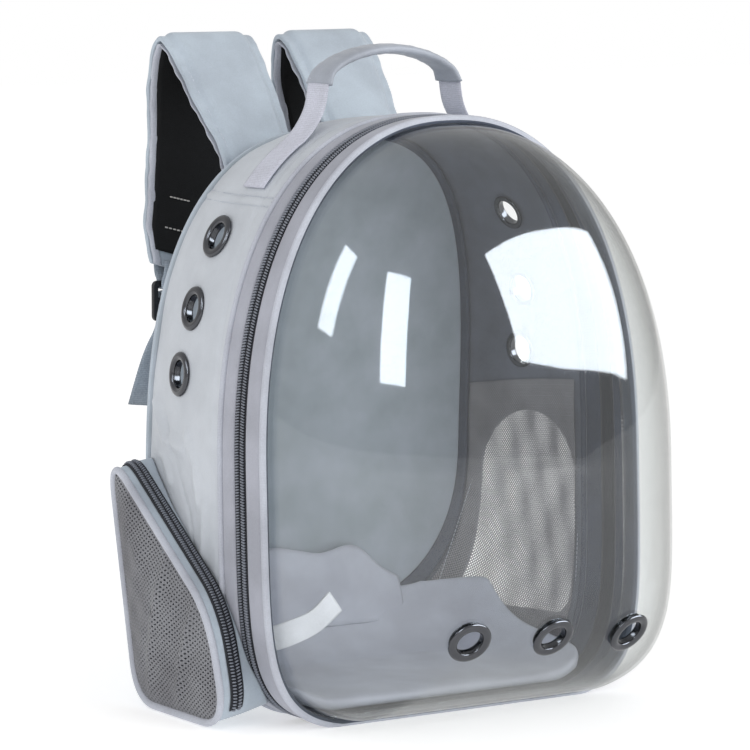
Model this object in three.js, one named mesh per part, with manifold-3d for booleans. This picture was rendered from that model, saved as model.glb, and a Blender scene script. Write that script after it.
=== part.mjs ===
// Pet carrier backpack with a clear bubble front. Millimetres, +Z up.
// The bubble faces -Y and the wearer's side faces +Y. The origin is on the floor,
// below the middle of the front frame.
import * as THREE from 'three';
import { mergeVertices } from 'three/addons/utils/BufferGeometryUtils.js';
import Module from 'manifold-3d';

const wasm = await Module();
wasm.setup();

// Body: front frame, side wall and back.
const HEIGHT = 420;
const WIDTH = 328;
const DEPTH = 185;
const WALL = 2;
const GAP = 0.3;
const FRONT_LEAN = 0.035;
const BACK_SWEEP = 40;
const SWEEP_START = 144;
const BASE_SINK = 3;
const PANEL_THICKNESS = 8;
const PANEL_CROWN = 6;
const SEAM_WIDTH = 6;
const SEAM_HEIGHT = 3.5;
const AROUND = 44;

// Front frame: piping, hoop, zip, tape and the piping behind it.
const PIPING_RADIUS = 3;
const PIPING_PROUD = 1.8;
const HOOP_WIDTH = 28;
const COIL_WIDTH = 5.5;
const COIL_PROUD = 0.8;
const TAPE_WIDTH = 18;

// Clear bubble.
const BUBBLE_DEPTH = 140;
const BUBBLE_WALL = 1.8;
const BUBBLE_FLANGE = 9;
const NOSE_HEIGHT = 188;

// Eyelets.
const EYELET_RADIUS = 16;
const EYELET_HOLE = 9.6;
const EYELET_RIM = 2.2;
const EYELET_BARREL = 1.4;
const EYELET_SEAT = 3.5;
const EYELET_SIDES = 14;
const PIPING_SIDES = 5;
const BUBBLE_EYELET_PITCH = 71;
const BUBBLE_EYELET_HEIGHT = 64;

// Mesh window of the right wall, seen through the bubble.
const WINDOW_FRONT = 72;
const WINDOW_WIDTH = 96;
const WINDOW_BOTTOM = 44;
const WINDOW_HEIGHT = 148;
const WINDOW_LAP = 4.5;
const NET_TOP = 222;
const NET_BOTTOM = 22;
const NET_THICKNESS = 1.2;

// Floor mat and tether ribbon.
const MAT_WIDTH = 268;
const MAT_FRONT = 12;
const MAT_THICKNESS = 9;
const TETHER_WIDTH = 16;
const TETHER_THICKNESS = 1.6;
const TETHER_REACH = 68;
const TETHER_HEIGHT = 60;

// Mesh pocket of the left wall.
const POCKET_HEIGHT = 178;
const POCKET_FRONT = 20;
const POCKET_PAST = 7;
const POCKET_OUT = 184;
const POCKET_TAPER = 0.07;
const POCKET_RISE = 0.2;
const POCKET_DEPTH = 62;
const POCKET_BULGE = 7;
const POCKET_WALL = 1.6;
const POCKET_PIPING = 2.6;
const POCKET_ZIP_WIDTH = 7;
const POCKET_ZIP_THICKNESS = 1.6;
const POCKET_ZIP_OFFSET = 12.5;

// Shoulder straps.
const STRAP_WIDTH = 78;
const STRAP_THICKNESS = 9;
const STRAP_LINING = 1.6;
const STRAP_ROOT_DROP = 52;
const STRAP_RISE = 99;
const STRAP_REACH = 88;
const STRAP_SPREAD = 50;
const WEBBING_WIDTH = 22;
const WEBBING_THICKNESS = 1.6;
const TAIL_LENGTH = 78;
const TAIL_SPREAD = 9;
const ANCHOR_HEIGHT = 90;
const ANCHOR_SPREAD = 102;

// Ladder buckle of each shoulder strap.
const BUCKLE_WIDTH = 34;
const BUCKLE_HEIGHT = 30;
const BUCKLE_THICKNESS = 3.6;
const BUCKLE_BAR = 4.4;
const BUCKLE_DROP = 8;
const TAB_LENGTH = 7;

// Carrying handle.
const HANDLE_DEPTH = 92;
const HANDLE_WEBBING = 26;
const HANDLE_THICKNESS = 1.8;
const HANDLE_FOOT_DROP = 50;
const HANDLE_HALF_SPAN = 66;
const HANDLE_RISE = 46;
const HANDLE_LEAN = 9;
const GRIP_DROP = 24;
const GRIP_WIDTH = 30;
const GRIP_THICKNESS = 9;

// Sections of the body from the front frame to the back panel. Widths and heights are
// shares of WIDTH and HEIGHT, depth is a share of DEPTH, and the rounds are the powers
// of the curve above and below the widest height.
const bodySections = [
  { depth: 0, width: 1, top: 1, floor: 0, wide: 0.421, roundTop: 2.28, roundFloor: 5.3 },
  { depth: 0.35, width: 0.984, top: 1, floor: 0, wide: 0.419, roundTop: 2.36, roundFloor: 5 },
  { depth: 0.68, width: 0.944, top: 0.993, floor: 0.002, wide: 0.412, roundTop: 2.58, roundFloor: 4.2 },
  { depth: 0.87, width: 0.901, top: 0.98, floor: 0.035, wide: 0.406, roundTop: 2.78, roundFloor: 3.2 },
  { depth: 1, width: 0.86, top: 0.965, floor: 0.095, wide: 0.403, roundTop: 2.9, roundFloor: 2.4 },
];

// Eyelets of each side wall: height as a share of HEIGHT, depth as a share of DEPTH.
const wallEyelets = [
  { name: 'top', height: 0.8, depth: 0.64 },
  { name: 'middle', height: 0.679, depth: 0.655 },
  { name: 'low', height: 0.567, depth: 0.69 },
];

// Corners of the pocket's outline: along as a share of its length from its front, up and
// round as shares of POCKET_HEIGHT.
const pocketCorners = [
  { along: 0, up: 0.012, round: 0.15 },
  { along: 0.155, up: 0.455, round: 0.5 },
  { along: 1, up: 1, round: 0.075 },
  { along: 0.767, up: 0.012, round: 0.2 },
];

// Course of a shoulder strap: back as a share of STRAP_REACH behind the root, up as a
// share of STRAP_RISE above it, wide as a share of STRAP_WIDTH, out as a share of
// STRAP_SPREAD from the middle plane.
const strapCourse = [
  { back: 0, up: 0, wide: 0.74, out: 1 },
  { back: 0.07, up: 0.3, wide: 0.78, out: 1 },
  { back: 0.2, up: 0.6, wide: 0.86, out: 1.01 },
  { back: 0.44, up: 0.87, wide: 0.97, out: 1.03 },
  { back: 0.74, up: 1, wide: 1, out: 1.04 },
  { back: 0.94, up: 0.9, wide: 1, out: 1.06 },
  { back: 1, up: 0.7, wide: 0.98, out: 1.1 },
  { back: 0.95, up: 0.38, wide: 0.96, out: 1.18 },
  { back: 0.91, up: -0.05, wide: 0.92, out: 1.3 },
  { back: 0.88, up: -0.42, wide: 0.8, out: 1.48 },
  { back: 0.86, up: -0.68, wide: 0.48, out: 1.62 },
];

// Webbing between its foot and its buckle: across, back and up as shares of the way.
const webbingRise = [
  { across: 0.07, back: 0.15, up: 0.28 },
  { across: 0.55, back: 0.6, up: 0.6 },
];

// Tether ribbon: in as a share of TETHER_REACH from the wall, up as a share of it above
// TETHER_HEIGHT, turn in degrees of its width from upright.
const tetherCourse = [
  { inward: 0, back: 0, up: 0, turn: 0 },
  { inward: 0.1, back: 0, up: 0, turn: 0 },
  { inward: 0.34, back: 0.02, up: -0.07, turn: 2 },
  { inward: 0.62, back: 0.05, up: -0.05, turn: 12 },
  { inward: 0.84, back: 0.08, up: 0.12, turn: 38 },
  { inward: 1, back: 0.1, up: 0.4, turn: 52 },
];

const colours = {
  cloth: 0xc8cbd2,
  piping: 0xc9cbd6,
  lining: 0x5a606c,
  panel: 0x868c96,
  mat: 0x9498a6,
  coil: 0x565b64,
  clear: 0xe8ecf0,
  metal: 0x5b5854,
  net: 0x7c7d80,
  strap: 0xb3bec9,
  black: 0x141519,
  webbing: 0xcfd1de,
};

const group = new THREE.Group();

function finish(colour, roughness, metalness = 0, opacity = 1) {
  return new THREE.MeshStandardMaterial({
    color: colour, roughness, metalness, opacity, transparent: opacity < 1,
  });
}

const finishes = {
  cloth: finish(colours.cloth, 0.62),
  piping: finish(colours.piping, 0.6),
  lining: finish(colours.lining, 0.7),
  panel: finish(colours.panel, 0.8),
  mat: finish(colours.mat, 0.8),
  coil: finish(colours.coil, 0.45),
  clear: finish(colours.clear, 0.04, 0, 0.35),
  metal: finish(colours.metal, 0.3, 1),
  net: finish(colours.net, 0.75),
  strap: finish(colours.strap, 0.7),
  black: finish(colours.black, 0.85),
  webbing: finish(colours.webbing, 0.75),
};

function add(name, geometry, material) {
  const mesh = new THREE.Mesh(geometry, material);
  mesh.name = name;
  group.add(mesh);
  return mesh;
}

// Signed volume of an indexed closed mesh, positive when its faces point outwards.
function signedVolume(positions, index) {
  const [a, b, c] = [new THREE.Vector3(), new THREE.Vector3(), new THREE.Vector3()];
  let sum = 0;
  for (let i = 0; i < index.length; i += 3) {
    a.fromArray(positions, index[i] * 3);
    b.fromArray(positions, index[i + 1] * 3);
    c.fromArray(positions, index[i + 2] * 3);
    sum += a.dot(b.cross(c));
  }
  return sum / 6;
}

function geometryFrom(positions, index) {
  if (signedVolume(positions, index) < 0) {
    for (let i = 0; i < index.length; i += 3) {
      [index[i + 1], index[i + 2]] = [index[i + 2], index[i + 1]];
    }
  }
  const geometry = new THREE.BufferGeometry();
  geometry.setAttribute('position', new THREE.Float32BufferAttribute(positions, 3));
  geometry.setIndex(index);
  geometry.computeVertexNormals();
  return geometry;
}

// Closed solid through a row of loops with the same number of points. ends is 'ring'
// when the last loop joins the first, 'flat' for ends closed across by rungs, and 'point'
// when each end closes on a tip, tips[0] and tips[1]. Each four-sided field is split on its
// shorter diagonal, so that the two skins of a thin piece bend alike.
function loft(loops, ends = 'flat', tips = [null, null]) {
  const count = loops[0].length;
  const positions = loops.flat().flatMap((p) => [p.x, p.y, p.z]);
  const index = [];
  const rows = ends === 'ring' ? loops.length : loops.length - 1;
  for (let i = 0; i < rows; i += 1) {
    const here = i * count;
    const next = ((i + 1) % loops.length) * count;
    for (let j = 0; j < count; j += 1) {
      const k = (j + 1) % count;
      const [p, q] = [loops[i], loops[(i + 1) % loops.length]];
      if (p[j].distanceTo(q[k]) < p[k].distanceTo(q[j])) {
        index.push(here + j, here + k, next + k, here + j, next + k, next + j);
      } else {
        index.push(here + j, here + k, next + j, here + k, next + k, next + j);
      }
    }
  }
  if (ends === 'flat') {
    const last = (loops.length - 1) * count;
    for (let j = 0; j < count / 2 - 1; j += 1) {
      const [far, next] = [count - 1 - j, count - 2 - j];
      index.push(j, far, j + 1, j + 1, far, next);
      index.push(last + j, last + j + 1, last + far, last + j + 1, last + next, last + far);
    }
  }
  if (ends === 'point') {
    [0, loops.length - 1].forEach((row, end) => {
      const tip = tips[end];
      const centre = positions.length / 3;
      positions.push(tip.x, tip.y, tip.z);
      for (let j = 0; j < count; j += 1) {
        const k = (j + 1) % count;
        const pair = end === 0 ? [row * count + k, row * count + j] : [row * count + j, row * count + k];
        index.push(centre, ...pair);
      }
    });
  }
  return geometryFrom(positions, index);
}

function toManifold(geometry) {
  const bare = geometry.clone();
  bare.deleteAttribute('normal');
  if (bare.getAttribute('uv')) bare.deleteAttribute('uv');
  const merged = mergeVertices(bare, 1e-4);
  return new wasm.Manifold(new wasm.Mesh({
    numProp: 3,
    vertProperties: new Float32Array(merged.getAttribute('position').array),
    triVerts: new Uint32Array(merged.getIndex().array),
  }));
}

function fromManifold(solid) {
  const mesh = solid.getMesh();
  return geometryFrom(Array.from(mesh.vertProperties), Array.from(mesh.triVerts));
}

function cut(geometry, cutters) {
  let solid = toManifold(geometry);
  cutters.forEach((cutter) => {
    solid = solid.subtract(toManifold(cutter));
  });
  return fromManifold(solid);
}

// Smooth curve through the values of one column at the share t of the key column.
function between(rows, key, column, t) {
  const last = rows.length - 1;
  let i = 0;
  while (i < last - 1 && t > rows[i + 1][key]) i += 1;
  const [a, b] = [rows[i], rows[i + 1]];
  const slope = (m, n) => (rows[n][column] - rows[m][column]) / (rows[n][key] - rows[m][key]);
  const span = b[key] - a[key];
  const inner = slope(i, i + 1);
  const m0 = i > 0 ? (slope(i - 1, i) + inner) / 2 : inner;
  const m1 = i + 1 < last ? (inner + slope(i + 1, i + 2)) / 2 : inner;
  const u = (t - a[key]) / span;
  if (u > 1) return b[column] + m1 * span * (u - 1);
  const [u2, u3] = [u * u, u * u * u];
  return (2 * u3 - 3 * u2 + 1) * a[column] + (u3 - 2 * u2 + u) * span * m0
    + (3 * u2 - 2 * u3) * b[column] + (u3 - u2) * span * m1;
}

function bodySection(share) {
  const at = (column) => between(bodySections, 'depth', column, Math.min(share, 1));
  return {
    half: at('width') * WIDTH / 2,
    top: at('top') * HEIGHT,
    floor: at('floor') * HEIGHT - BASE_SINK,
    wide: at('wide') * HEIGHT,
    roundTop: at('roundTop'),
    roundFloor: at('roundFloor'),
  };
}

// Distance back of a body point: the front frame leans back and the back sweeps forward
// towards the top.
function depthAt(share, z) {
  const sweep = Math.max((z - SWEEP_START) / (HEIGHT - SWEEP_START), 0) ** 2;
  return share * DEPTH + Math.max(1 - share, 0) * FRONT_LEAN * z - Math.min(share, 1) * BACK_SWEEP * sweep;
}

// Point of the body's outline: angle round the widest height, share of the depth, and
// inset from the outer face. The base is flat, at the height of the inset.
function bodyPoint(angle, share, inset = 0) {
  const s = bodySection(share);
  const [c, n] = [Math.cos(angle), Math.sin(angle)];
  const across = s.half - inset;
  const tall = (n >= 0 ? s.top - s.wide : s.wide - s.floor) - inset;
  const power = n >= 0 ? s.roundTop : s.roundFloor;
  const r = (Math.abs(c / across) ** power + Math.abs(n / tall) ** power) ** (-1 / power);
  const z = Math.max(s.wide + r * n, Math.max(inset, 0));
  return new THREE.Vector3(r * c, depthAt(share, z), z);
}

// Angles that part the front outline in AROUND equal lengths, from the middle of the base.
function outlineAngles() {
  const fine = 720;
  const angles = [...Array(fine + 1).keys()].map((i) => -Math.PI / 2 + Math.PI * i / fine);
  const points = angles.map((a) => bodyPoint(a, 0));
  const run = [0];
  for (let i = 1; i <= fine; i += 1) run.push(run[i - 1] + points[i].distanceTo(points[i - 1]));
  const half = [];
  for (let k = 0; k <= AROUND / 2; k += 1) {
    const goal = run[fine] * k / (AROUND / 2);
    const i = Math.max(1, run.findIndex((r) => r >= goal - 1e-9));
    const u = (goal - run[i - 1]) / (run[i] - run[i - 1]);
    half.push(angles[i - 1] + u * (angles[i] - angles[i - 1]));
  }
  const mirrored = half.slice(1, -1).reverse().map((a) => Math.PI - a);
  return [...half, ...mirrored];
}

const angles = outlineAngles();

// Ring of the body: its cross-section is a closed row of [distance back, inset] pairs.
function bodyRing(profile) {
  const loops = angles.map((a) => profile.map(([back, inset]) => bodyPoint(a, back / DEPTH, inset)));
  return loft(loops, 'ring');
}

function roundProfile(back, inset, radius, sides) {
  return [...Array(sides).keys()].map((i) => {
    const a = (i + 0.5) * 2 * Math.PI / sides;
    return [back + radius * Math.cos(a), inset + radius * Math.sin(a)];
  });
}

// Point of the body wall at a height on one side (-1 left, 1 right), on the flats between
// the angles of the outline, with the outward direction of the wall there.
function wallAt(height, share, side, inset = 0) {
  const rising = angles.slice(0, AROUND / 2 + 1);
  const outline = (depth) => rising.map((a) => bodyPoint(a, depth, inset));
  const middle = outline(share);
  const i = Math.max(1, middle.findIndex((p) => p.z >= height));
  const at = (row) => {
    const u = (height - row[i - 1].z) / (row[i].z - row[i - 1].z);
    const p = row[i - 1].clone().lerp(row[i], u);
    return new THREE.Vector3(p.x * side, p.y, p.z);
  };
  const step = 0.01;
  const along = at(outline(share + step)).sub(at(outline(share - step)));
  const up = middle[i].clone().sub(middle[i - 1]);
  up.x *= side;
  const out = new THREE.Vector3().crossVectors(along, up).normalize();
  if (out.x * side < 0) out.negate();
  return { point: at(middle), out };
}

// Front frame, from the piping at the bubble to the piping where the side wall starts.
const pipingFront = 0;
const hoopFront = pipingFront + PIPING_RADIUS + GAP;
const hoopBack = hoopFront + HOOP_WIDTH;
const coilFront = hoopBack + GAP;
const coilBack = coilFront + COIL_WIDTH;
const tapeFront = coilBack + GAP;
const tapeBack = tapeFront + TAPE_WIDTH;
const rearPiping = tapeBack + GAP + PIPING_RADIUS;
const wallFront = rearPiping + PIPING_RADIUS + GAP;
const pipingInset = PIPING_RADIUS - PIPING_PROUD;

const band = (front, back, outer, inner) => [[front, outer], [back, outer], [back, inner], [front, inner]];
const pipingRing = (back) => bodyRing(roundProfile(back, pipingInset, PIPING_RADIUS, PIPING_SIDES));
add('front_piping', pipingRing(pipingFront), finishes.piping);
add('front_hoop', bodyRing(band(hoopFront, hoopBack, 0, WALL)), finishes.cloth);
add('zip_coil', bodyRing(band(coilFront, coilBack, -COIL_PROUD, WALL)), finishes.coil);
add('zip_tape', bodyRing(band(tapeFront, tapeBack, 0, WALL)), finishes.cloth);
add('rear_piping', pipingRing(rearPiping), finishes.piping);

// Eyelet about its own Z axis: rim outside the wall, barrel through it, washer inside.
// z 0 is the outer face of the wall at the hole's edge.
function eyeletGeometry(wall) {
  const barrel = EYELET_HOLE + EYELET_BARREL;
  const inside = -wall - EYELET_SEAT;
  const washer = EYELET_RADIUS - EYELET_RIM;
  return new THREE.LatheGeometry([
    new THREE.Vector2(EYELET_HOLE, inside - EYELET_BARREL),
    new THREE.Vector2(washer, inside - EYELET_BARREL),
    new THREE.Vector2(washer, inside),
    new THREE.Vector2(barrel, inside),
    new THREE.Vector2(barrel, GAP),
    new THREE.Vector2(EYELET_RADIUS, GAP),
    new THREE.Vector2(EYELET_RADIUS - EYELET_RIM / 2, GAP + EYELET_RIM),
    new THREE.Vector2(EYELET_HOLE + EYELET_RIM / 2, GAP + EYELET_RIM),
    new THREE.Vector2(EYELET_HOLE, inside - EYELET_BARREL),
  ], EYELET_SIDES).rotateX(Math.PI / 2);
}

const eyeletCut = EYELET_HOLE + EYELET_BARREL + GAP;

function holeCutter() {
  const length = 4 * EYELET_RADIUS;
  return new THREE.CylinderGeometry(eyeletCut, eyeletCut, length, EYELET_SIDES).rotateX(Math.PI / 2);
}

// Turns a geometry made about Z to a point and an outward direction of a wall.
function placed(geometry, { point, out }) {
  const turn = new THREE.Quaternion().setFromUnitVectors(new THREE.Vector3(0, 0, 1), out);
  return geometry.applyQuaternion(turn).translate(point.x, point.y, point.z);
}

const sides = [{ name: 'left', side: -1 }, { name: 'right', side: 1 }];
const eyeletSeats = sides.flatMap(({ name, side }) => wallEyelets.map((e) => ({
  name: `${name}_eyelet_${e.name}`,
  ...wallAt(e.height * HEIGHT, e.depth, side),
})));

// Arched window of the right wall, cut along X.
function archShape(front, bottom, width, height, corner) {
  const r = width / 2;
  const shape = new THREE.Shape();
  shape.moveTo(front + corner, bottom);
  shape.lineTo(front + width - corner, bottom);
  shape.absarc(front + width - corner, bottom + corner, corner, -Math.PI / 2, 0);
  shape.absarc(front + r, bottom + height - r, r, 0, Math.PI);
  shape.absarc(front + corner, bottom + corner, corner, Math.PI, Math.PI * 1.5);
  return shape;
}

// Extrudes a shape drawn in distance back and height along X from near to far.
function alongX(shape, near, far, curveSegments) {
  const depth = far - near;
  const geometry = new THREE.ExtrudeGeometry(shape, { depth, bevelEnabled: false, curveSegments });
  const basis = new THREE.Matrix4().makeBasis(
    new THREE.Vector3(0, 1, 0), new THREE.Vector3(0, 0, 1), new THREE.Vector3(1, 0, 0),
  );
  return geometry.applyMatrix4(basis).translate(near, 0, 0);
}

const windowCorner = WINDOW_WIDTH / 8;
const windowCutter = alongX(
  archShape(WINDOW_FRONT, WINDOW_BOTTOM, WINDOW_WIDTH, WINDOW_HEIGHT, windowCorner), WIDTH / 4, WIDTH, 8,
);

const seamFront = DEPTH - SEAM_WIDTH;
const wallBacks = [
  ...[0, 0.3, 0.58, 0.78].map((u) => wallFront + u * (DEPTH - wallFront)), seamFront, DEPTH,
];
const wallProfile = [
  ...wallBacks.map((back) => [back, 0]),
  ...[...wallBacks].reverse().map((back) => [back, WALL]),
];
add('side_wall', cut(bodyRing(wallProfile), [
  ...eyeletSeats.map((seat) => placed(holeCutter(), seat)),
  windowCutter,
]), finishes.cloth);

// Back panel: a padded sheet on the rear edge of the wall, crowned outwards.
function backPoint(angle, share, off) {
  const rim = bodyPoint(angle, 1);
  const middle = bodySection(1).wide;
  const z = middle + share * (rim.z - middle);
  return new THREE.Vector3(share * rim.x, depthAt(1, z) + off, z);
}

function backPanel() {
  const rings = [
    { share: 0.4, off: GAP },
    { share: 1, off: GAP },
    { share: 1, off: GAP + PANEL_THICKNESS * 0.75 },
    { share: 0.97, off: GAP + PANEL_THICKNESS },
    { share: 0.75, off: GAP + PANEL_THICKNESS + PANEL_CROWN * 0.6 },
    { share: 0.4, off: GAP + PANEL_THICKNESS + PANEL_CROWN * 0.9 },
  ];
  const loops = rings.map(({ share, off }) => angles.map((a) => backPoint(a, share, off)));
  const tips = [backPoint(0, 0, GAP), backPoint(0, 0, GAP + PANEL_THICKNESS + PANEL_CROWN)];
  return loft(loops, 'point', tips);
}
const panelGeometry = backPanel();
add('back_panel', panelGeometry, finishes.panel);

// Furthest back point of a solid behind a place across and up.
function rearOf(geometry, x, z) {
  const position = geometry.getAttribute('position');
  const index = geometry.getIndex();
  const here = new THREE.Vector3(x, 0, z);
  const flat = new THREE.Triangle();
  const weights = new THREE.Vector3();
  let rear = -Infinity;
  for (let i = 0; i < index.count; i += 3) {
    const corners = [0, 1, 2].map((k) => {
      const corner = index.getX(i + k);
      return new THREE.Vector3().fromBufferAttribute(position, corner);
    });
    flat.set(...corners.map((c) => c.clone().setY(0)));
    if (flat.getArea() > 1e-6 && flat.containsPoint(here)) {
      flat.getBarycoord(here, weights);
      const back = new THREE.Vector3(...corners.map((c) => c.y)).dot(weights);
      rear = Math.max(rear, back);
    }
  }
  return rear;
}

// Bound seam inside, where the wall meets the back panel.
const seamInset = WALL + 3 * GAP;
add('inner_seam_binding', bodyRing(band(
  seamFront, DEPTH - GAP, seamInset, seamInset + SEAM_HEIGHT,
)), finishes.lining);

// Bubble: the inside outline of the frame, drawn in to the nose on an ellipse. Its rim
// sits against the flats of the piping.
const pipingInner = pipingInset + PIPING_RADIUS * Math.cos(Math.PI / (2 * PIPING_SIDES));
const bubbleInset = Math.max(WALL, pipingInner) + GAP;

function bubblePoint(angle, turn, skin) {
  const rim = bodyPoint(angle, 0, bubbleInset + skin);
  const pull = Math.cos(turn);
  const z = NOSE_HEIGHT + pull * (rim.z - NOSE_HEIGHT);
  return new THREE.Vector3(pull * rim.x, pull * rim.y - (BUBBLE_DEPTH - skin) * Math.sin(turn), z);
}

function bubbleLoops(skin) {
  const flange = angles.map((a) => {
    const rim = bodyPoint(a, 0, bubbleInset + skin);
    return new THREE.Vector3(rim.x, rim.y + BUBBLE_FLANGE, rim.z);
  });
  const turns = [0.05, 0.24, 0.44, 0.63, 0.82].map((u) => u * Math.PI / 2);
  return [flange, ...turns.map((t) => angles.map((a) => bubblePoint(a, t, skin)))];
}

function bubbleShell() {
  const outer = bubbleLoops(0);
  const inner = bubbleLoops(BUBBLE_WALL);
  const tips = [bubblePoint(0, Math.PI / 2, BUBBLE_WALL), bubblePoint(0, Math.PI / 2, 0)];
  return loft([...inner.reverse(), ...outer], 'point', tips);
}

// Point and outward direction of the bubble in front of a place across and up.
function bubbleAt(x, z) {
  const surface = (px, pz) => {
    const angle = Math.atan2(pz - NOSE_HEIGHT, px);
    let [low, high] = [0, Math.PI / 2];
    const target = Math.hypot(px, pz - NOSE_HEIGHT);
    for (let i = 0; i < 50; i += 1) {
      const middle = (low + high) / 2;
      const p = onBearing(angle, middle);
      if (Math.hypot(p.x, p.z - NOSE_HEIGHT) > target) low = middle;
      else high = middle;
    }
    return onBearing(angle, low);
  };
  const step = 1;
  const point = surface(x, z);
  const across = surface(x + step, z).sub(surface(x - step, z));
  const up = surface(x, z + step).sub(surface(x, z - step));
  const out = new THREE.Vector3().crossVectors(across, up).normalize();
  if (out.y > 0) out.negate();
  return { point, out };
}

// Bubble point whose bearing from the nose, seen from the front, is the given angle.
function onBearing(bearing, turn) {
  let [low, high] = [bearing - 0.6, bearing + 0.6];
  const rimBearing = (a) => {
    const rim = bodyPoint(a, 0, bubbleInset);
    return Math.atan2(rim.z - NOSE_HEIGHT, rim.x);
  };
  for (let i = 0; i < 40; i += 1) {
    const middle = (low + high) / 2;
    let off = rimBearing(middle) - bearing;
    off = Math.atan2(Math.sin(off), Math.cos(off));
    if (off < 0) low = middle;
    else high = middle;
  }
  return bubblePoint(low, turn, 0);
}

const bubbleSeats = [-1, 0, 1].map((n, i) => ({
  name: `bubble_eyelet_${i + 1}`,
  ...bubbleAt(n * BUBBLE_EYELET_PITCH, BUBBLE_EYELET_HEIGHT),
}));
add('bubble', cut(bubbleShell(), bubbleSeats.map((seat) => placed(holeCutter(), seat))), finishes.clear);

eyeletSeats.forEach((seat) => add(seat.name, placed(eyeletGeometry(WALL), seat), finishes.metal));
bubbleSeats.forEach((seat) => add(seat.name, placed(eyeletGeometry(BUBBLE_WALL), seat), finishes.metal));

// Mesh lining of the right wall, over the window and the wall round it.
function windowNet() {
  const backs = [WINDOW_FRONT - WINDOW_LAP, ...wallBacks.slice(1, -2), seamFront - 2 * GAP];
  const rows = angles.slice(0, AROUND / 2).filter((a) => {
    const { z } = bodyPoint(a, 0);
    return z > NET_BOTTOM && z < NET_TOP;
  });
  const skin = (inset) => rows.map((a) => backs.map((back) => bodyPoint(a, back / DEPTH, inset)));
  const [outer, inner] = [skin(seamInset), skin(seamInset + NET_THICKNESS)];
  return loft(outer.map((row, i) => [...inner[i], ...[...row].reverse()]), 'flat');
}
add('right_window_net', windowNet(), finishes.net);

// Height of the inner face of the base below a point of the floor, on the flats between
// the angles of the outline.
function floorHeight(x, share, inset) {
  const low = angles.slice(0, AROUND / 2).map((a) => bodyPoint(a, share, inset));
  const i = Math.max(1, low.findIndex((p) => p.x >= Math.abs(x)));
  const u = (Math.abs(x) - low[i - 1].x) / (low[i].x - low[i - 1].x);
  return low[i - 1].z + u * (low[i].z - low[i - 1].z);
}

// Floor mat: rests on the pipings and the rear seam, and follows the base up its curved
// sides and back.
const matBack = DEPTH - 2 * GAP;

function floorMat() {
  const seat = Math.max(pipingInset + PIPING_RADIUS, seamInset + SEAM_HEIGHT);
  const round = 6;
  const count = 28;
  const middle = (MAT_FRONT + matBack) / 2;
  const ring = (share, lift) => [...Array(count).keys()].map((i) => {
    const a = i * 2 * Math.PI / count;
    const reach = (Math.abs(Math.cos(a)) ** round + Math.abs(Math.sin(a)) ** round) ** (-1 / round);
    const x = share * reach * Math.cos(a) * MAT_WIDTH / 2;
    const y = middle + share * reach * Math.sin(a) * (matBack - MAT_FRONT) / 2;
    return new THREE.Vector3(x, y, floorHeight(x, y / DEPTH, seat) + 2 * GAP + lift);
  });
  const rest = floorHeight(0, middle / DEPTH, seat) + 2 * GAP;
  const centre = (lift) => new THREE.Vector3(0, middle, rest + lift);
  const loops = [
    ring(0.45, 0), ring(0.8, 0), ring(0.98, 0),
    ring(1, MAT_THICKNESS / 3), ring(1, MAT_THICKNESS * 0.7), ring(0.97, MAT_THICKNESS),
    ring(0.8, MAT_THICKNESS), ring(0.45, MAT_THICKNESS),
  ];
  return loft(loops, 'point', [centre(0), centre(MAT_THICKNESS)]);
}
add('floor_mat', floorMat(), finishes.mat);

// Flat strip along points, each with its width direction: four corners at each point.
function strip(stations, width, thickness) {
  const loops = stations.map(({ point, across, face }, i) => {
    const w = Array.isArray(width) ? width[i] : width;
    const corner = (a, b) => point.clone()
      .addScaledVector(across, a * w / 2)
      .addScaledVector(face, b * thickness / 2);
    return [corner(-1, -1), corner(1, -1), corner(1, 1), corner(-1, 1)];
  });
  return loft(loops, 'flat');
}

// Stations along a curve: across is kept square to the course, face is square to both.
function stationsAlong(points, acrossOf) {
  const curve = new THREE.CatmullRomCurve3(points, false, 'centripetal');
  return (count) => [...Array(count + 1).keys()].map((i) => {
    const u = i / count;
    const point = curve.getPointAt(u);
    const tangent = curve.getTangentAt(u);
    const across = acrossOf(u).clone().addScaledVector(tangent, -acrossOf(u).dot(tangent)).normalize();
    return { point, across, face: new THREE.Vector3().crossVectors(tangent, across).normalize() };
  });
}

// Tether ribbon sewn to the left wall inside, near the frame.
function tether() {
  const rootBack = tapeFront + TAPE_WIDTH / 2;
  const lowCorner = TETHER_HEIGHT - TETHER_WIDTH / 2;
  const root = wallAt(lowCorner, rootBack / DEPTH, -1, WALL + GAP).point.setZ(TETHER_HEIGHT);
  const points = tetherCourse.map((row) => new THREE.Vector3(
    root.x + row.inward * TETHER_REACH, root.y + row.back * TETHER_REACH, root.z + row.up * TETHER_REACH,
  ));
  const acrossOf = (u) => {
    const place = u * (tetherCourse.length - 1);
    const i = Math.min(Math.floor(place), tetherCourse.length - 2);
    const turn = tetherCourse[i].turn + (place - i) * (tetherCourse[i + 1].turn - tetherCourse[i].turn);
    const a = turn * Math.PI / 180;
    return new THREE.Vector3(-Math.sin(a), 0, Math.cos(a));
  };
  return strip(stationsAlong(points, acrossOf)(10), TETHER_WIDTH, TETHER_THICKNESS);
}
add('tether_ribbon', tether(), finishes.webbing);

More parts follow.
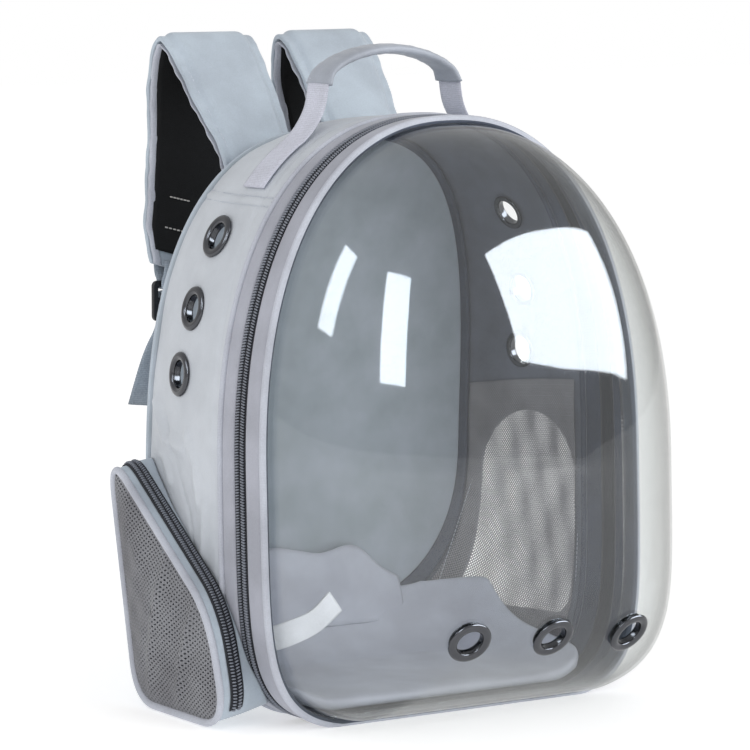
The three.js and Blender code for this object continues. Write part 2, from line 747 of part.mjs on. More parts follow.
// Outline with rounded corners, as points in distance back and height.
function roundedOutline(corners, arcSteps) {
  const points = [];
  corners.forEach((corner, i) => {
    const before = corners[(i + corners.length - 1) % corners.length];
    const after = corners[(i + 1) % corners.length];
    const from = new THREE.Vector2(before.y - corner.y, before.z - corner.z);
    const to = new THREE.Vector2(after.y - corner.y, after.z - corner.z);
    const open = Math.acos(from.clone().normalize().dot(to.clone().normalize()));
    const reach = Math.min(corner.round / Math.tan(open / 2), from.length() / 2, to.length() / 2);
    const start = from.clone().setLength(reach);
    const end = to.clone().setLength(reach);
    for (let k = 0; k <= arcSteps; k += 1) {
      const t = k / arcSteps;
      points.push(new THREE.Vector2(
        corner.y + start.x * (1 - t) ** 2 + end.x * t ** 2,
        corner.z + start.y * (1 - t) ** 2 + end.y * t ** 2,
      ));
    }
  });
  return points;
}

const pocketLength = DEPTH + POCKET_PAST - POCKET_FRONT;
const pocketOutline = roundedOutline(pocketCorners.map((c) => ({
  y: POCKET_FRONT + c.along * pocketLength,
  z: POCKET_HEIGHT * c.up,
  round: POCKET_HEIGHT * c.round,
})), 6);

// Outward directions of a closed outline at its points.
function outlineNormals(outline) {
  const area = THREE.ShapeUtils.area(outline);
  return outline.map((p, i) => {
    const before = outline[(i + outline.length - 1) % outline.length];
    const after = outline[(i + 1) % outline.length];
    const t = after.clone().sub(before).normalize();
    return new THREE.Vector2(t.y, -t.x).multiplyScalar(Math.sign(area));
  });
}

const pocketNormals = outlineNormals(pocketOutline);
const pocketFace = (y) => -POCKET_OUT + POCKET_TAPER * (y - POCKET_FRONT);

// Point by the pocket's outline: offset outwards from it and distance from the face
// towards the body, on which the pocket rises a little.
function pocketPoint(i, off, inward) {
  const [p, n] = [pocketOutline[i], pocketNormals[i]];
  const z = p.y + n.y * off + POCKET_RISE * inward;
  return new THREE.Vector3(pocketFace(p.x) + inward, p.x + n.x * off, Math.max(z, 0));
}

// Ring round the pocket: its cross-section is a closed row of [offset, inward] pairs.
function pocketRing(profile) {
  const loops = pocketOutline.map((p, i) => profile.map(([off, inward]) => pocketPoint(i, off, inward)));
  return loft(loops, 'ring');
}

// The body with the clearance that the pocket keeps to it.
function bodyClearance() {
  const [wide, close] = [PIPING_PROUD + 2 * GAP, 1.5 * GAP];
  const rows = [
    [-PIPING_RADIUS * 2, wide], [wallFront + GAP, wide], [wallFront + 3 * GAP, close],
    ...wallBacks.slice(1).map((back) => [back, close]),
    [DEPTH + PANEL_THICKNESS + PANEL_CROWN, close],
  ];
  const loops = rows.map(([back, grow]) => angles.map((a) => {
    const p = bodyPoint(a, Math.max(back, 0) / DEPTH, -grow);
    return new THREE.Vector3(p.x, p.y + Math.min(back, 0), p.z);
  }));
  const tip = (loop) => loop.reduce((sum, p) => sum.add(p), new THREE.Vector3()).divideScalar(loop.length);
  return loft(loops, 'point', [tip(loops[0]), tip(loops[loops.length - 1])]);
}

const pocketEdge = POCKET_PIPING + GAP;
add('pocket_band', cut(pocketRing([
  [0, pocketEdge], [0, POCKET_DEPTH], [-POCKET_WALL, POCKET_DEPTH], [-POCKET_WALL, pocketEdge],
]), [bodyClearance()]), finishes.strap);
const pocketCord = roundProfile(-POCKET_WALL / 2, 0, POCKET_PIPING, PIPING_SIDES);
add('pocket_piping', pocketRing(pocketCord), finishes.piping);

// Net face of the pocket, bulged outwards inside its piping.
function pocketNet() {
  const inset = POCKET_PIPING + GAP + POCKET_WALL / 2;
  const edge = pocketOutline.map((p, i) => p.clone().addScaledVector(pocketNormals[i], -inset));
  const centre = edge.reduce((sum, p) => sum.add(p), new THREE.Vector2()).divideScalar(edge.length);
  const point = (p, share, off) => {
    const y = centre.x + share * (p.x - centre.x);
    const z = centre.y + share * (p.y - centre.y);
    return new THREE.Vector3(pocketFace(y) - POCKET_BULGE * (1 - share * share) + off, y, z);
  };
  const rings = [0.4, 0.75, 1].map((share) => [share, 0]);
  const lining = [1, 0.75, 0.4].map((share) => [share, NET_THICKNESS]);
  const loops = [...rings, ...lining].map(([share, off]) => edge.map((p) => point(p, share, off)));
  return loft(loops, 'point', [point(centre, 0, 0), point(centre, 0, NET_THICKNESS)]);
}
add('pocket_net', pocketNet(), finishes.net);

// Zip of the pocket, on the band from its bottom front corner up the slope to the top.
function pocketZip() {
  const last = 3 * pocketOutline.length / pocketCorners.length - 2;
  const half = POCKET_ZIP_WIDTH / 2;
  const [near, far] = [POCKET_ZIP_OFFSET - half, POCKET_ZIP_OFFSET + half];
  const [low, high] = [GAP, GAP + POCKET_ZIP_THICKNESS];
  const profile = [[low, near], [high, near], [high, far], [low, far]];
  const loops = [...Array(last).keys()].map((i) => (
    profile.map(([off, inward]) => pocketPoint(i + 1, off, inward))
  ));
  return loft(loops, 'flat');
}
add('pocket_zip', pocketZip(), finishes.coil);

// Padded strip: a flat oval of eight points at each station.
function pad(stations, widths, thickness, lift) {
  const oval = [
    [-0.5, -0.22], [-0.44, -0.5], [0.44, -0.5], [0.5, -0.22],
    [0.5, 0.22], [0.44, 0.5], [-0.44, 0.5], [-0.5, 0.22],
  ];
  const loops = stations.map(({ point, across, face }, i) => oval.map(([a, b]) => point.clone()
    .addScaledVector(across, a * widths[i])
    .addScaledVector(face, b * thickness + lift)));
  return loft(loops, 'flat');
}

function column(rows, name, u) {
  const place = u * (rows.length - 1);
  const i = Math.min(Math.floor(place), rows.length - 2);
  return rows[i][name] + (place - i) * (rows[i + 1][name] - rows[i][name]);
}

const strapSteps = 17;
const strapRoot = HEIGHT - STRAP_ROOT_DROP;
const rootEdge = STRAP_SPREAD - strapCourse[0].wide * STRAP_WIDTH / 2;
const strapRootBack = rearOf(panelGeometry, rootEdge, strapRoot) + 2 * GAP + STRAP_THICKNESS / 2;

function strapPoints(side) {
  return strapCourse.map((row) => new THREE.Vector3(
    side * row.out * STRAP_SPREAD, strapRootBack + row.back * STRAP_REACH, strapRoot + row.up * STRAP_RISE,
  ));
}

const slotHeight = (BUCKLE_HEIGHT - 3 * BUCKLE_BAR) / 2;

function buckleGeometry() {
  const [w, h] = [BUCKLE_WIDTH / 2, BUCKLE_HEIGHT / 2];
  const shape = new THREE.Shape();
  shape.moveTo(-w, -h);
  shape.lineTo(w, -h);
  shape.lineTo(w, h);
  shape.lineTo(-w, h);
  shape.closePath();
  const slotWidth = w - BUCKLE_BAR;
  [-h + BUCKLE_BAR, BUCKLE_BAR / 2].forEach((bottom) => {
    const slot = new THREE.Path();
    slot.moveTo(-slotWidth, bottom);
    slot.lineTo(slotWidth, bottom);
    slot.lineTo(slotWidth, bottom + slotHeight);
    slot.lineTo(-slotWidth, bottom + slotHeight);
    slot.closePath();
    shape.holes.push(slot);
  });
  const geometry = new THREE.ExtrudeGeometry(shape, { depth: BUCKLE_THICKNESS, bevelEnabled: false });
  return geometry.translate(0, 0, -BUCKLE_THICKNESS / 2).rotateX(Math.PI / 2);
}

// Pieces of the left shoulder strap: the right one is their mirror image.
function strapPieces() {
  const side = -1;
  const points = strapPoints(side);
  const stations = stationsAlong(points, () => new THREE.Vector3(1, 0, 0))(strapSteps);
  const widths = stations.map((s, i) => column(strapCourse, 'wide', i / strapSteps) * STRAP_WIDTH);
  const inward = stations[0].face.y > 0 ? 1 : -1;
  const liningLift = inward * (STRAP_THICKNESS / 2 + 2 * GAP + STRAP_LINING / 2);
  const padGeometry = pad(stations, widths, STRAP_THICKNESS, 0);
  const lined = stations.slice(2, -1).map((s) => ({
    ...s, point: s.point.clone().addScaledVector(s.face, liningLift),
  }));
  const linedWidths = widths.slice(2, -1).map((w) => w * 0.9);
  const liningGeometry = strip(lined, linedWidths, STRAP_LINING);

  const end = points[points.length - 1];
  const buckle = new THREE.Vector3(end.x, end.y, end.z - BUCKLE_HEIGHT / 2 - BUCKLE_DROP);

  // Short loop of webbing that holds the top bar of the buckle to the pad's end. wrap and
  // under are the webbing's distances from the middle of a bar, beside and below it.
  const barCentre = BUCKLE_HEIGHT / 2 - BUCKLE_BAR / 2;
  const wrap = BUCKLE_THICKNESS / 2 + 2 * GAP + WEBBING_THICKNESS / 2;
  const under = BUCKLE_BAR / 2 + 2 * GAP + WEBBING_THICKNESS / 2;
  const padFace = STRAP_THICKNESS / 2 + 2 * GAP + WEBBING_THICKNESS / 2;
  const bend = WEBBING_THICKNESS / 2;
  const last = stations[strapSteps];
  const upStrap = stations[strapSteps - 1].point.clone().sub(last.point).normalize();
  const backwards = last.face.clone().multiplyScalar(Math.sign(last.face.y));
  const onPad = (off, up) => last.point.clone()
    .addScaledVector(backwards, off)
    .addScaledVector(upStrap, up);
  const onBuckle = ([y, z]) => new THREE.Vector3(buckle.x, buckle.y + y, buckle.z + z);
  const tab = [
    onPad(-padFace, TAB_LENGTH), onPad(-padFace, -BUCKLE_DROP / 2),
    ...[
      [-wrap, BUCKLE_BAR / 2 + bend], [-wrap, bend - under], [bend - wrap, -under],
      [wrap - bend, -under], [wrap, bend - under], [wrap, BUCKLE_BAR / 2 + bend],
    ].map(([y, z]) => onBuckle([y, barCentre + z])),
    onPad(padFace, -BUCKLE_DROP / 2), onPad(padFace, TAB_LENGTH),
  ];

  // Webbing from the lower corner of the back up to the inner side of the buckle, through
  // its upper slot, over the middle bar and down its outer side as the free tail.
  const inner = side * (ANCHOR_SPREAD - WEBBING_WIDTH / 2);
  const restOn = (z) => rearOf(panelGeometry, inner, z) + GAP + WEBBING_THICKNESS / 2;
  const foot = new THREE.Vector3(side * ANCHOR_SPREAD, restOn(ANCHOR_HEIGHT), ANCHOR_HEIGHT);
  const footTop = ANCHOR_HEIGHT + WEBBING_WIDTH;
  const rising = webbingRise.map(({ across, back, up }) => new THREE.Vector3(
    THREE.MathUtils.lerp(foot.x, buckle.x, across),
    THREE.MathUtils.lerp(foot.y, buckle.y, back),
    THREE.MathUtils.lerp(foot.z, buckle.z, up),
  ));
  const slot = BUCKLE_BAR / 2 + slotHeight / 2;
  const below = BUCKLE_HEIGHT / 2 + BUCKLE_BAR;
  const hanging = (share) => new THREE.Vector3(
    buckle.x + side * share * TAIL_SPREAD, buckle.y + wrap + (1 + share) * bend,
    buckle.z - share * TAIL_LENGTH,
  );
  const course = [
    foot, new THREE.Vector3(foot.x, restOn(footTop), footTop), ...rising,
    ...[
      [-wrap - bend, -below], [-wrap, -BUCKLE_BAR / 2], [-wrap, slot - bend / 2],
      [bend - wrap, slot + bend / 2], [wrap - bend, slot + bend / 2],
      [wrap, slot - bend / 2], [wrap, -BUCKLE_BAR / 2], [wrap + bend / 2, -below],
    ].map(onBuckle),
    hanging(0.5), hanging(1),
  ];
  return [
    { piece: 'strap_pad', geometry: padGeometry, material: finishes.strap },
    { piece: 'strap_lining', geometry: liningGeometry, material: finishes.black },
    {
      piece: 'buckle',
      geometry: buckleGeometry().translate(buckle.x, buckle.y, buckle.z),
      material: finishes.black,
    },
    {
      piece: 'buckle_tab',
      geometry: strip(polyStations(tab), WEBBING_WIDTH, WEBBING_THICKNESS),
      material: finishes.webbing,
    },
    {
      piece: 'webbing',
      geometry: strip(polyStations(course), WEBBING_WIDTH, WEBBING_THICKNESS),
      material: finishes.webbing,
    },
  ];
}

function mirrored(geometry) {
  const whole = mergeVertices(geometry.clone(), 1e-4);
  const positions = Array.from(whole.getAttribute('position').array);
  for (let i = 0; i < positions.length; i += 3) positions[i] *= -1;
  return geometryFrom(positions, Array.from(whole.getIndex().array));
}

sides.forEach(({ name, side }) => strapPieces().forEach(({ piece, geometry, material }) => {
  add(`${name}_${piece}`, side < 0 ? geometry : mirrored(geometry), material);
}));

// Stations at the corners of a folded strip, its width along X.
function polyStations(points) {
  return points.map((point, i) => {
    const before = points[Math.max(i - 1, 0)];
    const after = points[Math.min(i + 1, points.length - 1)];
    const tangent = after.clone().sub(before).normalize();
    const across = new THREE.Vector3(1, 0, 0).addScaledVector(tangent, -tangent.x).normalize();
    return { point, across, face: new THREE.Vector3().crossVectors(tangent, across).normalize() };
  });
}

// Handle: two webbing legs sewn on the wall, rising to a wrapped grip.
const handleShare = HANDLE_DEPTH / DEPTH;
const legLift = 2 * GAP + HANDLE_THICKNESS / 2;
const legFoot = HEIGHT - HANDLE_FOOT_DROP;

function wallTop(x) {
  let [low, high] = [0, HEIGHT];
  for (let i = 0; i < 40; i += 1) {
    const middle = (low + high) / 2;
    if (wallAt(middle, handleShare, 1).point.x > x) low = middle;
    else high = middle;
  }
  return low;
}

const legTop = wallTop(HANDLE_HALF_SPAN);
const gripEnd = HEIGHT + HANDLE_RISE - GRIP_DROP;
const gripHalf = HANDLE_HALF_SPAN - HANDLE_LEAN;

sides.forEach(({ name, side }) => {
  const seated = [...Array(13).keys()].map((i) => {
    const height = legFoot + (legTop - legFoot) * i / 12;
    const { point, out } = wallAt(height, handleShare, side);
    return point.setY(HANDLE_DEPTH).addScaledVector(out.setY(0).normalize(), legLift);
  });
  const foot = seated[seated.length - 1];
  const free = [
    new THREE.Vector3(foot.x - side * HANDLE_LEAN * 0.45, HANDLE_DEPTH, foot.z + HANDLE_LEAN / 2),
    new THREE.Vector3(side * (gripHalf + HANDLE_LEAN * 0.2), HANDLE_DEPTH, (foot.z + gripEnd) / 2 + GAP),
    new THREE.Vector3(side * gripHalf, HANDLE_DEPTH, gripEnd - 2 * GAP),
  ];
  const course = [...seated, ...free];
  const stations = course.map((point, i) => {
    const before = course[Math.max(i - 1, 0)];
    const after = course[Math.min(i + 1, course.length - 1)];
    const tangent = after.clone().sub(before).normalize();
    const across = new THREE.Vector3(0, 1, 0);
    return { point, across, face: new THREE.Vector3().crossVectors(tangent, across).normalize() };
  });
  add(`${name}_handle_leg`, strip(stations, HANDLE_WEBBING, HANDLE_THICKNESS), finishes.webbing);
});

function handleGrip() {
  const half = [{ across: -1, up: 0 }, { across: -0.93, up: 0.34 }, { across: -0.72, up: 0.66 },
    { across: -0.36, up: 0.92 }];
  const other = half.map(({ across, up }) => ({ across: -across, up })).reverse();
  const rows = [...half, { across: 0, up: 1 }, ...other];
  const points = rows.map(({ across, up }) => (
    new THREE.Vector3(across * gripHalf, HANDLE_DEPTH, gripEnd + up * GRIP_DROP)
  ));
  const stations = stationsAlong(points, () => new THREE.Vector3(0, 1, 0))(10);
  return pad(stations, stations.map(() => GRIP_WIDTH), GRIP_THICKNESS, 0);
}
add('handle_grip', handleGrip(), finishes.strap);

export default group;
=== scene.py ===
"""Looks of a pet carrier backpack with a clear bubble front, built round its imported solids.

Shapes are worked out in millimetres in the part's own frame and turn to metres when a mesh
is made: the bubble faces -Y, the wearer's side +Y, and the frame stands on the floor at z 0.
"""

import math

import bpy
import numpy as np
from mathutils import Matrix, Vector


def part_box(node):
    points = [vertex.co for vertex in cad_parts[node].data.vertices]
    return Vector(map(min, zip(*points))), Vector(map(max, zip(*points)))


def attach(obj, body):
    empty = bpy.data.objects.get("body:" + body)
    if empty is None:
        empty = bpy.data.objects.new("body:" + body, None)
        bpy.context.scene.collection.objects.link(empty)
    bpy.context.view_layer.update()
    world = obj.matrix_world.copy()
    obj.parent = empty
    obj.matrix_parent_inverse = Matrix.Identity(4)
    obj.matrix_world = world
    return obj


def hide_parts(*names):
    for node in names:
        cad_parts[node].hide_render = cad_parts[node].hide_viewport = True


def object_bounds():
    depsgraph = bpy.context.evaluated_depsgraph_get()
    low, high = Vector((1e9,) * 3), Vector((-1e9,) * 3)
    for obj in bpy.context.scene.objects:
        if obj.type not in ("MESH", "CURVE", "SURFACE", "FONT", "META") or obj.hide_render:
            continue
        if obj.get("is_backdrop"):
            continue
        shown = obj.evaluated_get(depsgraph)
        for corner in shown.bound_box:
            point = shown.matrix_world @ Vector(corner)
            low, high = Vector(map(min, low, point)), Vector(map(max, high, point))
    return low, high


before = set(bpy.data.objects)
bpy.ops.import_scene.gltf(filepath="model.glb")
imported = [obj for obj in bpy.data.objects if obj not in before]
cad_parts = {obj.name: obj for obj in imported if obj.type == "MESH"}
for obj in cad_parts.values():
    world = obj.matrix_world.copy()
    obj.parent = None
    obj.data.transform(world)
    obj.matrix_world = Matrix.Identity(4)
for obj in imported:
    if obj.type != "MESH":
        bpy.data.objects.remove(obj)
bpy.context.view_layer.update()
scene = bpy.context.scene

# Sizes of the body and frame, as the solids have them. Only the zip takes more of the
# frame here, 15 mm instead of 6, because that much of its tape and teeth shows.
HEIGHT, WIDTH, DEPTH = 420.0, 328.0, 185.0
WALL, GAP = 2.0, 0.3
FRONT_LEAN, BACK_SWEEP, SWEEP_START, BASE_SINK = 0.035, 40.0, 144.0, 3.0
PIPING_RADIUS, PIPING_PROUD = 3.0, 1.8
PIPING_INSET = PIPING_RADIUS - PIPING_PROUD
HOOP_FRONT, HOOP_BACK = 3.3, 23.0
COIL_BACK = 38.4
TAPE_FRONT, TAPE_BACK = 38.7, 55.4
REAR_PIPING = 58.7
WALL_FRONT = 62.0
BUBBLE_DEPTH, BUBBLE_WALL, BUBBLE_FLANGE, BUBBLE_INSET = 140.0, 1.8, 9.0, 4.4
NOSE_HEIGHT = 188.0
EYELET_RADIUS, EYELET_HOLE = 16.0, 9.6

# Rows of the body from front to back: depth and widths as shares of DEPTH, WIDTH and
# HEIGHT, and the powers of the outline above and below its widest height.
BODY_COLUMNS = ("depth", "width", "top", "floor", "wide", "round_top", "round_floor")
BODY_ROWS = np.array([
    (0.00, 1.000, 1.000, 0.000, 0.421, 2.28, 5.3),
    (0.35, 0.984, 1.000, 0.000, 0.419, 2.36, 5.0),
    (0.68, 0.944, 0.993, 0.002, 0.412, 2.58, 4.2),
    (0.87, 0.901, 0.980, 0.035, 0.406, 2.78, 3.2),
    (1.00, 0.860, 0.965, 0.095, 0.403, 2.90, 2.4),
])
WALL_EYELETS = {"top": (0.8, 0.64), "middle": (0.679, 0.655), "low": (0.567, 0.69)}


def body_value(column, share):
    """Cubic through one column of the body's rows: slopes are the means of the chords."""
    keys, values = BODY_ROWS[:, 0], BODY_ROWS[:, BODY_COLUMNS.index(column)]
    chords = np.diff(values) / np.diff(keys)
    slopes = np.concatenate([chords[:1], (chords[1:] + chords[:-1]) / 2, chords[-1:]])
    i = np.searchsorted(keys[1:-1], share, side="left")
    span = keys[i + 1] - keys[i]
    u = (share - keys[i]) / span
    return ((2 * u**3 - 3 * u**2 + 1) * values[i] + (u**3 - 2 * u**2 + u) * span * slopes[i]
            + (3 * u**2 - 2 * u**3) * values[i + 1] + (u**3 - u**2) * span * slopes[i + 1])


def sweep_at(z):
    """How far the back lies forward at a height: it grows with the square above its start."""
    return BACK_SWEEP * np.maximum((z - SWEEP_START) / (HEIGHT - SWEEP_START), 0) ** 2


def body_point(angle, back, inset=0.0):
    """Point of the body: a superellipse about the widest height, angle turning round it,
    back the distance from the front, inset the distance inside the outer face."""
    angle, back, inset = np.broadcast_arrays(*(np.asarray(a, float) for a in (angle, back, inset)))
    share = back / DEPTH
    s = np.minimum(share, 1)
    c, n = np.cos(angle), np.sin(angle)
    wide = body_value("wide", s) * HEIGHT
    top = body_value("top", s) * HEIGHT
    floor = body_value("floor", s) * HEIGHT - BASE_SINK
    across = body_value("width", s) * WIDTH / 2 - inset
    tall = np.where(n >= 0, top - wide, wide - floor) - inset
    power = np.where(n >= 0, body_value("round_top", s), body_value("round_floor", s))
    r = (np.abs(c / across) ** power + np.abs(n / tall) ** power) ** (-1 / power)
    z = np.maximum(wide + r * n, np.maximum(inset, 0))
    y = share * DEPTH + np.maximum(1 - share, 0) * FRONT_LEAN * z - s * sweep_at(z)
    return np.stack([r * c, y, z], axis=-1)


def round_the_body(count):
    """Angles that cut the front outline into count equal lengths from the middle of its base."""
    fine = np.linspace(-np.pi / 2, np.pi / 2, 2881)
    points = body_point(fine, 0.0)
    run = np.concatenate([[0], np.cumsum(np.linalg.norm(np.diff(points, axis=0), axis=1))])
    half = np.interp(np.linspace(0, run[-1], count // 2 + 1), run, fine)
    return np.concatenate([half, np.pi - half[-2:0:-1]])


def wall_seat(height, back, side, inset=0.0):
    """Point of the body's side at a height, with its outward direction, from differences."""
    fine = np.linspace(-np.pi / 2, np.pi / 2, 4001)

    def at(h, b):
        """Point of the side at a height and a distance back."""
        angle = np.interp(h, body_point(fine, b, inset)[:, 2], fine)
        p = body_point(angle, b, inset)
        return np.array([side * p[0], p[1], p[2]])

    here = at(height, back)
    out = np.cross(at(height, back + 1) - here, at(height + 1, back) - here)
    out *= np.sign(out[0] * side) / np.linalg.norm(out)
    return here, out


def body_half_width(y, z):
    """Half width of the body behind a place of its side, 0 above or below it."""
    y, z = np.asarray(y, float), np.asarray(z, float)
    lean = FRONT_LEAN * z
    share = np.clip((y - lean) / (DEPTH - lean - sweep_at(z)), 0, 1)
    wide = body_value("wide", share) * HEIGHT
    top, floor = body_value("top", share) * HEIGHT, body_value("floor", share) * HEIGHT - BASE_SINK
    tall = np.where(z >= wide, top - wide, wide - floor)
    power = np.where(z >= wide, body_value("round_top", share), body_value("round_floor", share))
    level = np.clip(np.abs(z - wide) / tall, 0, 1)
    return body_value("width", share) * WIDTH / 2 * (1 - level**power) ** (1 / power)


def ripple(a, b, waves):
    """Sum of fixed sine waves over two coordinates: rows of size, length a, length b, phase."""
    return sum(h * np.sin(2 * np.pi * (a / la + b / lb) + phase) for h, la, lb, phase in waves)


def bump_at(a, b, centre, spread, turn=0.0):
    """Round or long hump of height 1 about a centre, its axes turned by turn degrees."""
    c, s = math.cos(math.radians(turn)), math.sin(math.radians(turn))
    da, db = a - centre[0], b - centre[1]
    u, v = c * da + s * db, -s * da + c * db
    return np.exp(-((u / spread[0]) ** 2) - (v / spread[1]) ** 2)


def ridge_at(a, b, path, width):
    """Hump of height 1 along a broken line: it falls with the distance from the line."""
    path = np.asarray(path, float)
    nearest = np.full(np.shape(a), np.inf)
    for start, end in zip(path[:-1], path[1:]):
        d = end - start
        t = np.clip(((a - start[0]) * d[0] + (b - start[1]) * d[1]) / (d @ d), 0, 1)
        gap = np.hypot(a - start[0] - t * d[0], b - start[1] - t * d[1])
        nearest = np.minimum(nearest, gap)
    return np.exp(-((nearest / width) ** 2))


# Meshes

def grid_normals(grid, closed=(False, False)):
    """Unit normals of a grid of points, from the differences along its rows and columns."""
    def step(axis, wrap):
        """Differences of the grid along one axis."""
        if wrap:
            return np.roll(grid, -1, axis) - np.roll(grid, 1, axis)
        return np.gradient(grid, axis=axis)

    n = np.cross(step(0, closed[0]), step(1, closed[1]))
    return n / np.maximum(np.linalg.norm(n, axis=-1, keepdims=True), 1e-9)


def grid_faces(rows, cols, closed):
    """Quads of a grid, joined round where an axis is closed."""
    i = np.arange(rows if closed[0] else rows - 1)[:, None]
    j = np.arange(cols if closed[1] else cols - 1)[None, :]
    i2, j2 = (i + 1) % rows, (j + 1) % cols
    return np.stack([i * cols + j, i * cols + j2, i2 * cols + j2, i2 * cols + j], -1).reshape(-1, 4)


def grid_lengths(grid, axis, closed):
    """Length run along one axis of a grid, averaged over the other, with the closing step."""
    steps = np.diff(grid, axis=axis)
    if closed:
        first, last = np.take(grid, [0], axis), np.take(grid, [-1], axis)
        steps = np.concatenate([steps, first - last], axis)
    run = np.linalg.norm(steps, axis=-1).mean(axis=1 - axis)
    return np.concatenate([[0], np.cumsum(run)])


def signed_volume(points, faces):
    """Signed volume of a mesh of quads or triangles, positive when its faces point out."""
    corners = points[faces]
    total = 0.0
    for k in range(1, faces.shape[1] - 1):
        total += np.einsum("ij,ij->", corners[:, 0], np.cross(corners[:, k], corners[:, k + 1]))
    return total / 6


def make_mesh(name, points, faces, materials, uv=None, slots=None, smooth=True):
    """Mesh object from points in millimetres, faces, one uv pair in metres for each corner
    and a material number for each face. Its place is in its mesh."""
    mesh = bpy.data.meshes.new(name)
    mesh.from_pydata((points * 0.001).tolist(), [], [list(f) for f in faces])
    if uv is not None:
        layer = mesh.uv_layers.new(name="cloth")
        layer.data.foreach_set("uv", np.asarray(uv, np.float32).ravel())
    for material in materials:
        mesh.materials.append(material)
    if slots is not None:
        mesh.polygons.foreach_set("material_index", np.asarray(slots, np.int32))
    mesh.polygons.foreach_set("use_smooth", np.full(len(mesh.polygons), smooth))
    mesh.update()
    piece = bpy.data.objects.new(name, mesh)
    scene.collection.objects.link(piece)
    return piece


def surface(name, grid, materials, closed=(False, False), caps=None, slots=None, uv=None,
            outward=True, smooth=True):
    """Piece from a grid of points. caps is 'flat' to close open rows of closed rings with
    strips across them, or 'point' to close them on their means. slots gives each column
    its material. The uv map holds the lengths run along rows and columns."""
    rows, cols = grid.shape[:2]
    points = grid.reshape(-1, 3)
    faces = grid_faces(rows, cols, closed)
    run_u, run_v = grid_lengths(grid, 0, closed[0]), grid_lengths(grid, 1, closed[1])
    i = np.arange(rows if closed[0] else rows - 1)[:, None]
    j = np.arange(cols if closed[1] else cols - 1)[None, :]
    u = np.broadcast_arrays(*(run_u[k] for k in (i, i, i + 1, i + 1)), j)[:4]
    v = np.broadcast_arrays(*(run_v[k] for k in (j, j + 1, j + 1, j)), i)[:4]
    coords = np.stack([np.stack(u, -1), np.stack(v, -1)], -1).reshape(-1, 4, 2) * 0.001
    if uv is not None:
        coords = uv.reshape(-1, 2)[faces] * 0.001
    kinds = None if slots is None else np.broadcast_to(np.asarray(slots)[j], np.broadcast(i, j).shape).ravel()
    face_list, uv_list = list(faces), [c for c in coords.reshape(-1, 4, 2)]
    if outward and signed_volume(points, faces) < 0:
        face_list = [f[::-1] for f in face_list]
        uv_list = [c[::-1] for c in uv_list]
    if caps:
        extra = []
        for row in (0, rows - 1):
            ring = row * cols + np.arange(cols)
            if caps == "flat":
                half = cols // 2
                extra += [[ring[k], ring[k + 1], ring[cols - 2 - k], ring[cols - 1 - k]]
                          for k in range(half - 1)]
            else:
                points = np.vstack([points, grid[row].mean(axis=0)])
                extra += [[ring[k], ring[(k + 1) % cols], len(points) - 1] for k in range(cols)]
        flip = signed_volume(points, faces) < 0
        ends = []
        for f in extra:
            first = f[0] < cols
            ends.append(f if first == flip else f[::-1])
        face_list += ends
        uv_list += [np.zeros((len(f), 2)) for f in ends]
        if kinds is not None:
            kinds = np.concatenate([kinds, np.zeros(len(ends), int)])
    return make_mesh(name, points, face_list, materials, np.concatenate(uv_list), kinds, smooth)


def strip(name, grid, material):
    """Piece from closed rings along a course, its two open ends closed with strips."""
    return surface(name, grid, [material], closed=(False, True), caps="flat")


def shell(outer, inner):
    """Closed rings through the rows of two skins: out along one and back along the other."""
    return np.concatenate([outer, inner[:, ::-1]], axis=1)


def repeated(name, template, faces, origins, axes, material):
    """Many copies of one small closed shape, each turned by its three axes, as one mesh."""
    points = origins[:, None, :] + np.einsum("pk,nkc->npc", template, axes)
    shift = np.arange(len(origins)) * len(template)
    all_faces = [[v + s for v in f] for s in shift for f in faces]
    return make_mesh(name, points.reshape(-1, 3), all_faces, [material])


def capsule():
    """Small six-sided rounded bar along its first axis, of length and thickness 1, with its
    faces."""
    sides = 6
    turn = np.arange(sides) * 2 * np.pi / sides
    rings = [(-0.5, 0.25), (-0.36, 0.5), (0.36, 0.5), (0.5, 0.25)]
    points = [(x, r * math.cos(t), r * math.sin(t)) for x, r in rings for t in turn]
    low = [(r * sides, k, (k + 1) % sides) for r in range(3) for k in range(sides)]
    faces = [[b + k, b + sides + k, b + sides + after, b + after] for b, k, after in low]
    ends = [list(range(sides)), [3 * sides + k for k in range(sides)][::-1]]
    points = np.array(points)
    if signed_volume(points, np.array(faces)) < 0:
        faces = [f[::-1] for f in faces]
    first, second, third = points[ends[0][:3]]
    if np.cross(second - first, third - second) @ points[ends[0]].mean(axis=0) < 0:
        ends = [e[::-1] for e in ends]
    return points, faces + ends


def along(path, spacing):
    """Points at equal spacing along a broken line, with the unit directions there."""
    path = np.asarray(path, float)
    run = np.concatenate([[0], np.cumsum(np.linalg.norm(np.diff(path, axis=0), axis=1))])
    count = max(2, int(run[-1] / spacing))
    at = (np.arange(count) + 0.5) * run[-1] / count
    points = np.stack([np.interp(at, run, path[:, k]) for k in range(3)], -1)
    ahead = np.stack([np.interp(np.minimum(at + 0.4, run[-1]), run, path[:, k]) for k in range(3)], -1)
    behind = np.stack([np.interp(np.maximum(at - 0.4, 0), run, path[:, k]) for k in range(3)], -1)
    d = ahead - behind
    return points, d / np.linalg.norm(d, axis=1, keepdims=True)


def unit(v):
    """Vectors of length 1 in the directions given."""
    return v / np.maximum(np.linalg.norm(v, axis=-1, keepdims=True), 1e-9)


def stitches(name, paths, material, pitch=3.4, thickness=0.75):
    """Seam of sewn stitches: a short rounded bar every pitch along each broken line."""
    template, faces = capsule()
    length = 2.5
    origins, axes = [], []
    for path in paths:
        points, d = along(path, pitch)
        side = unit(np.cross(d, [0.31, 0.2, 0.93]))
        up = np.cross(side, d)
        origins.append(points)
        axes.append(np.stack([d * length, side * thickness, up * thickness], axis=1))
    return repeated(name, template, faces, np.concatenate(origins), np.concatenate(axes), material)


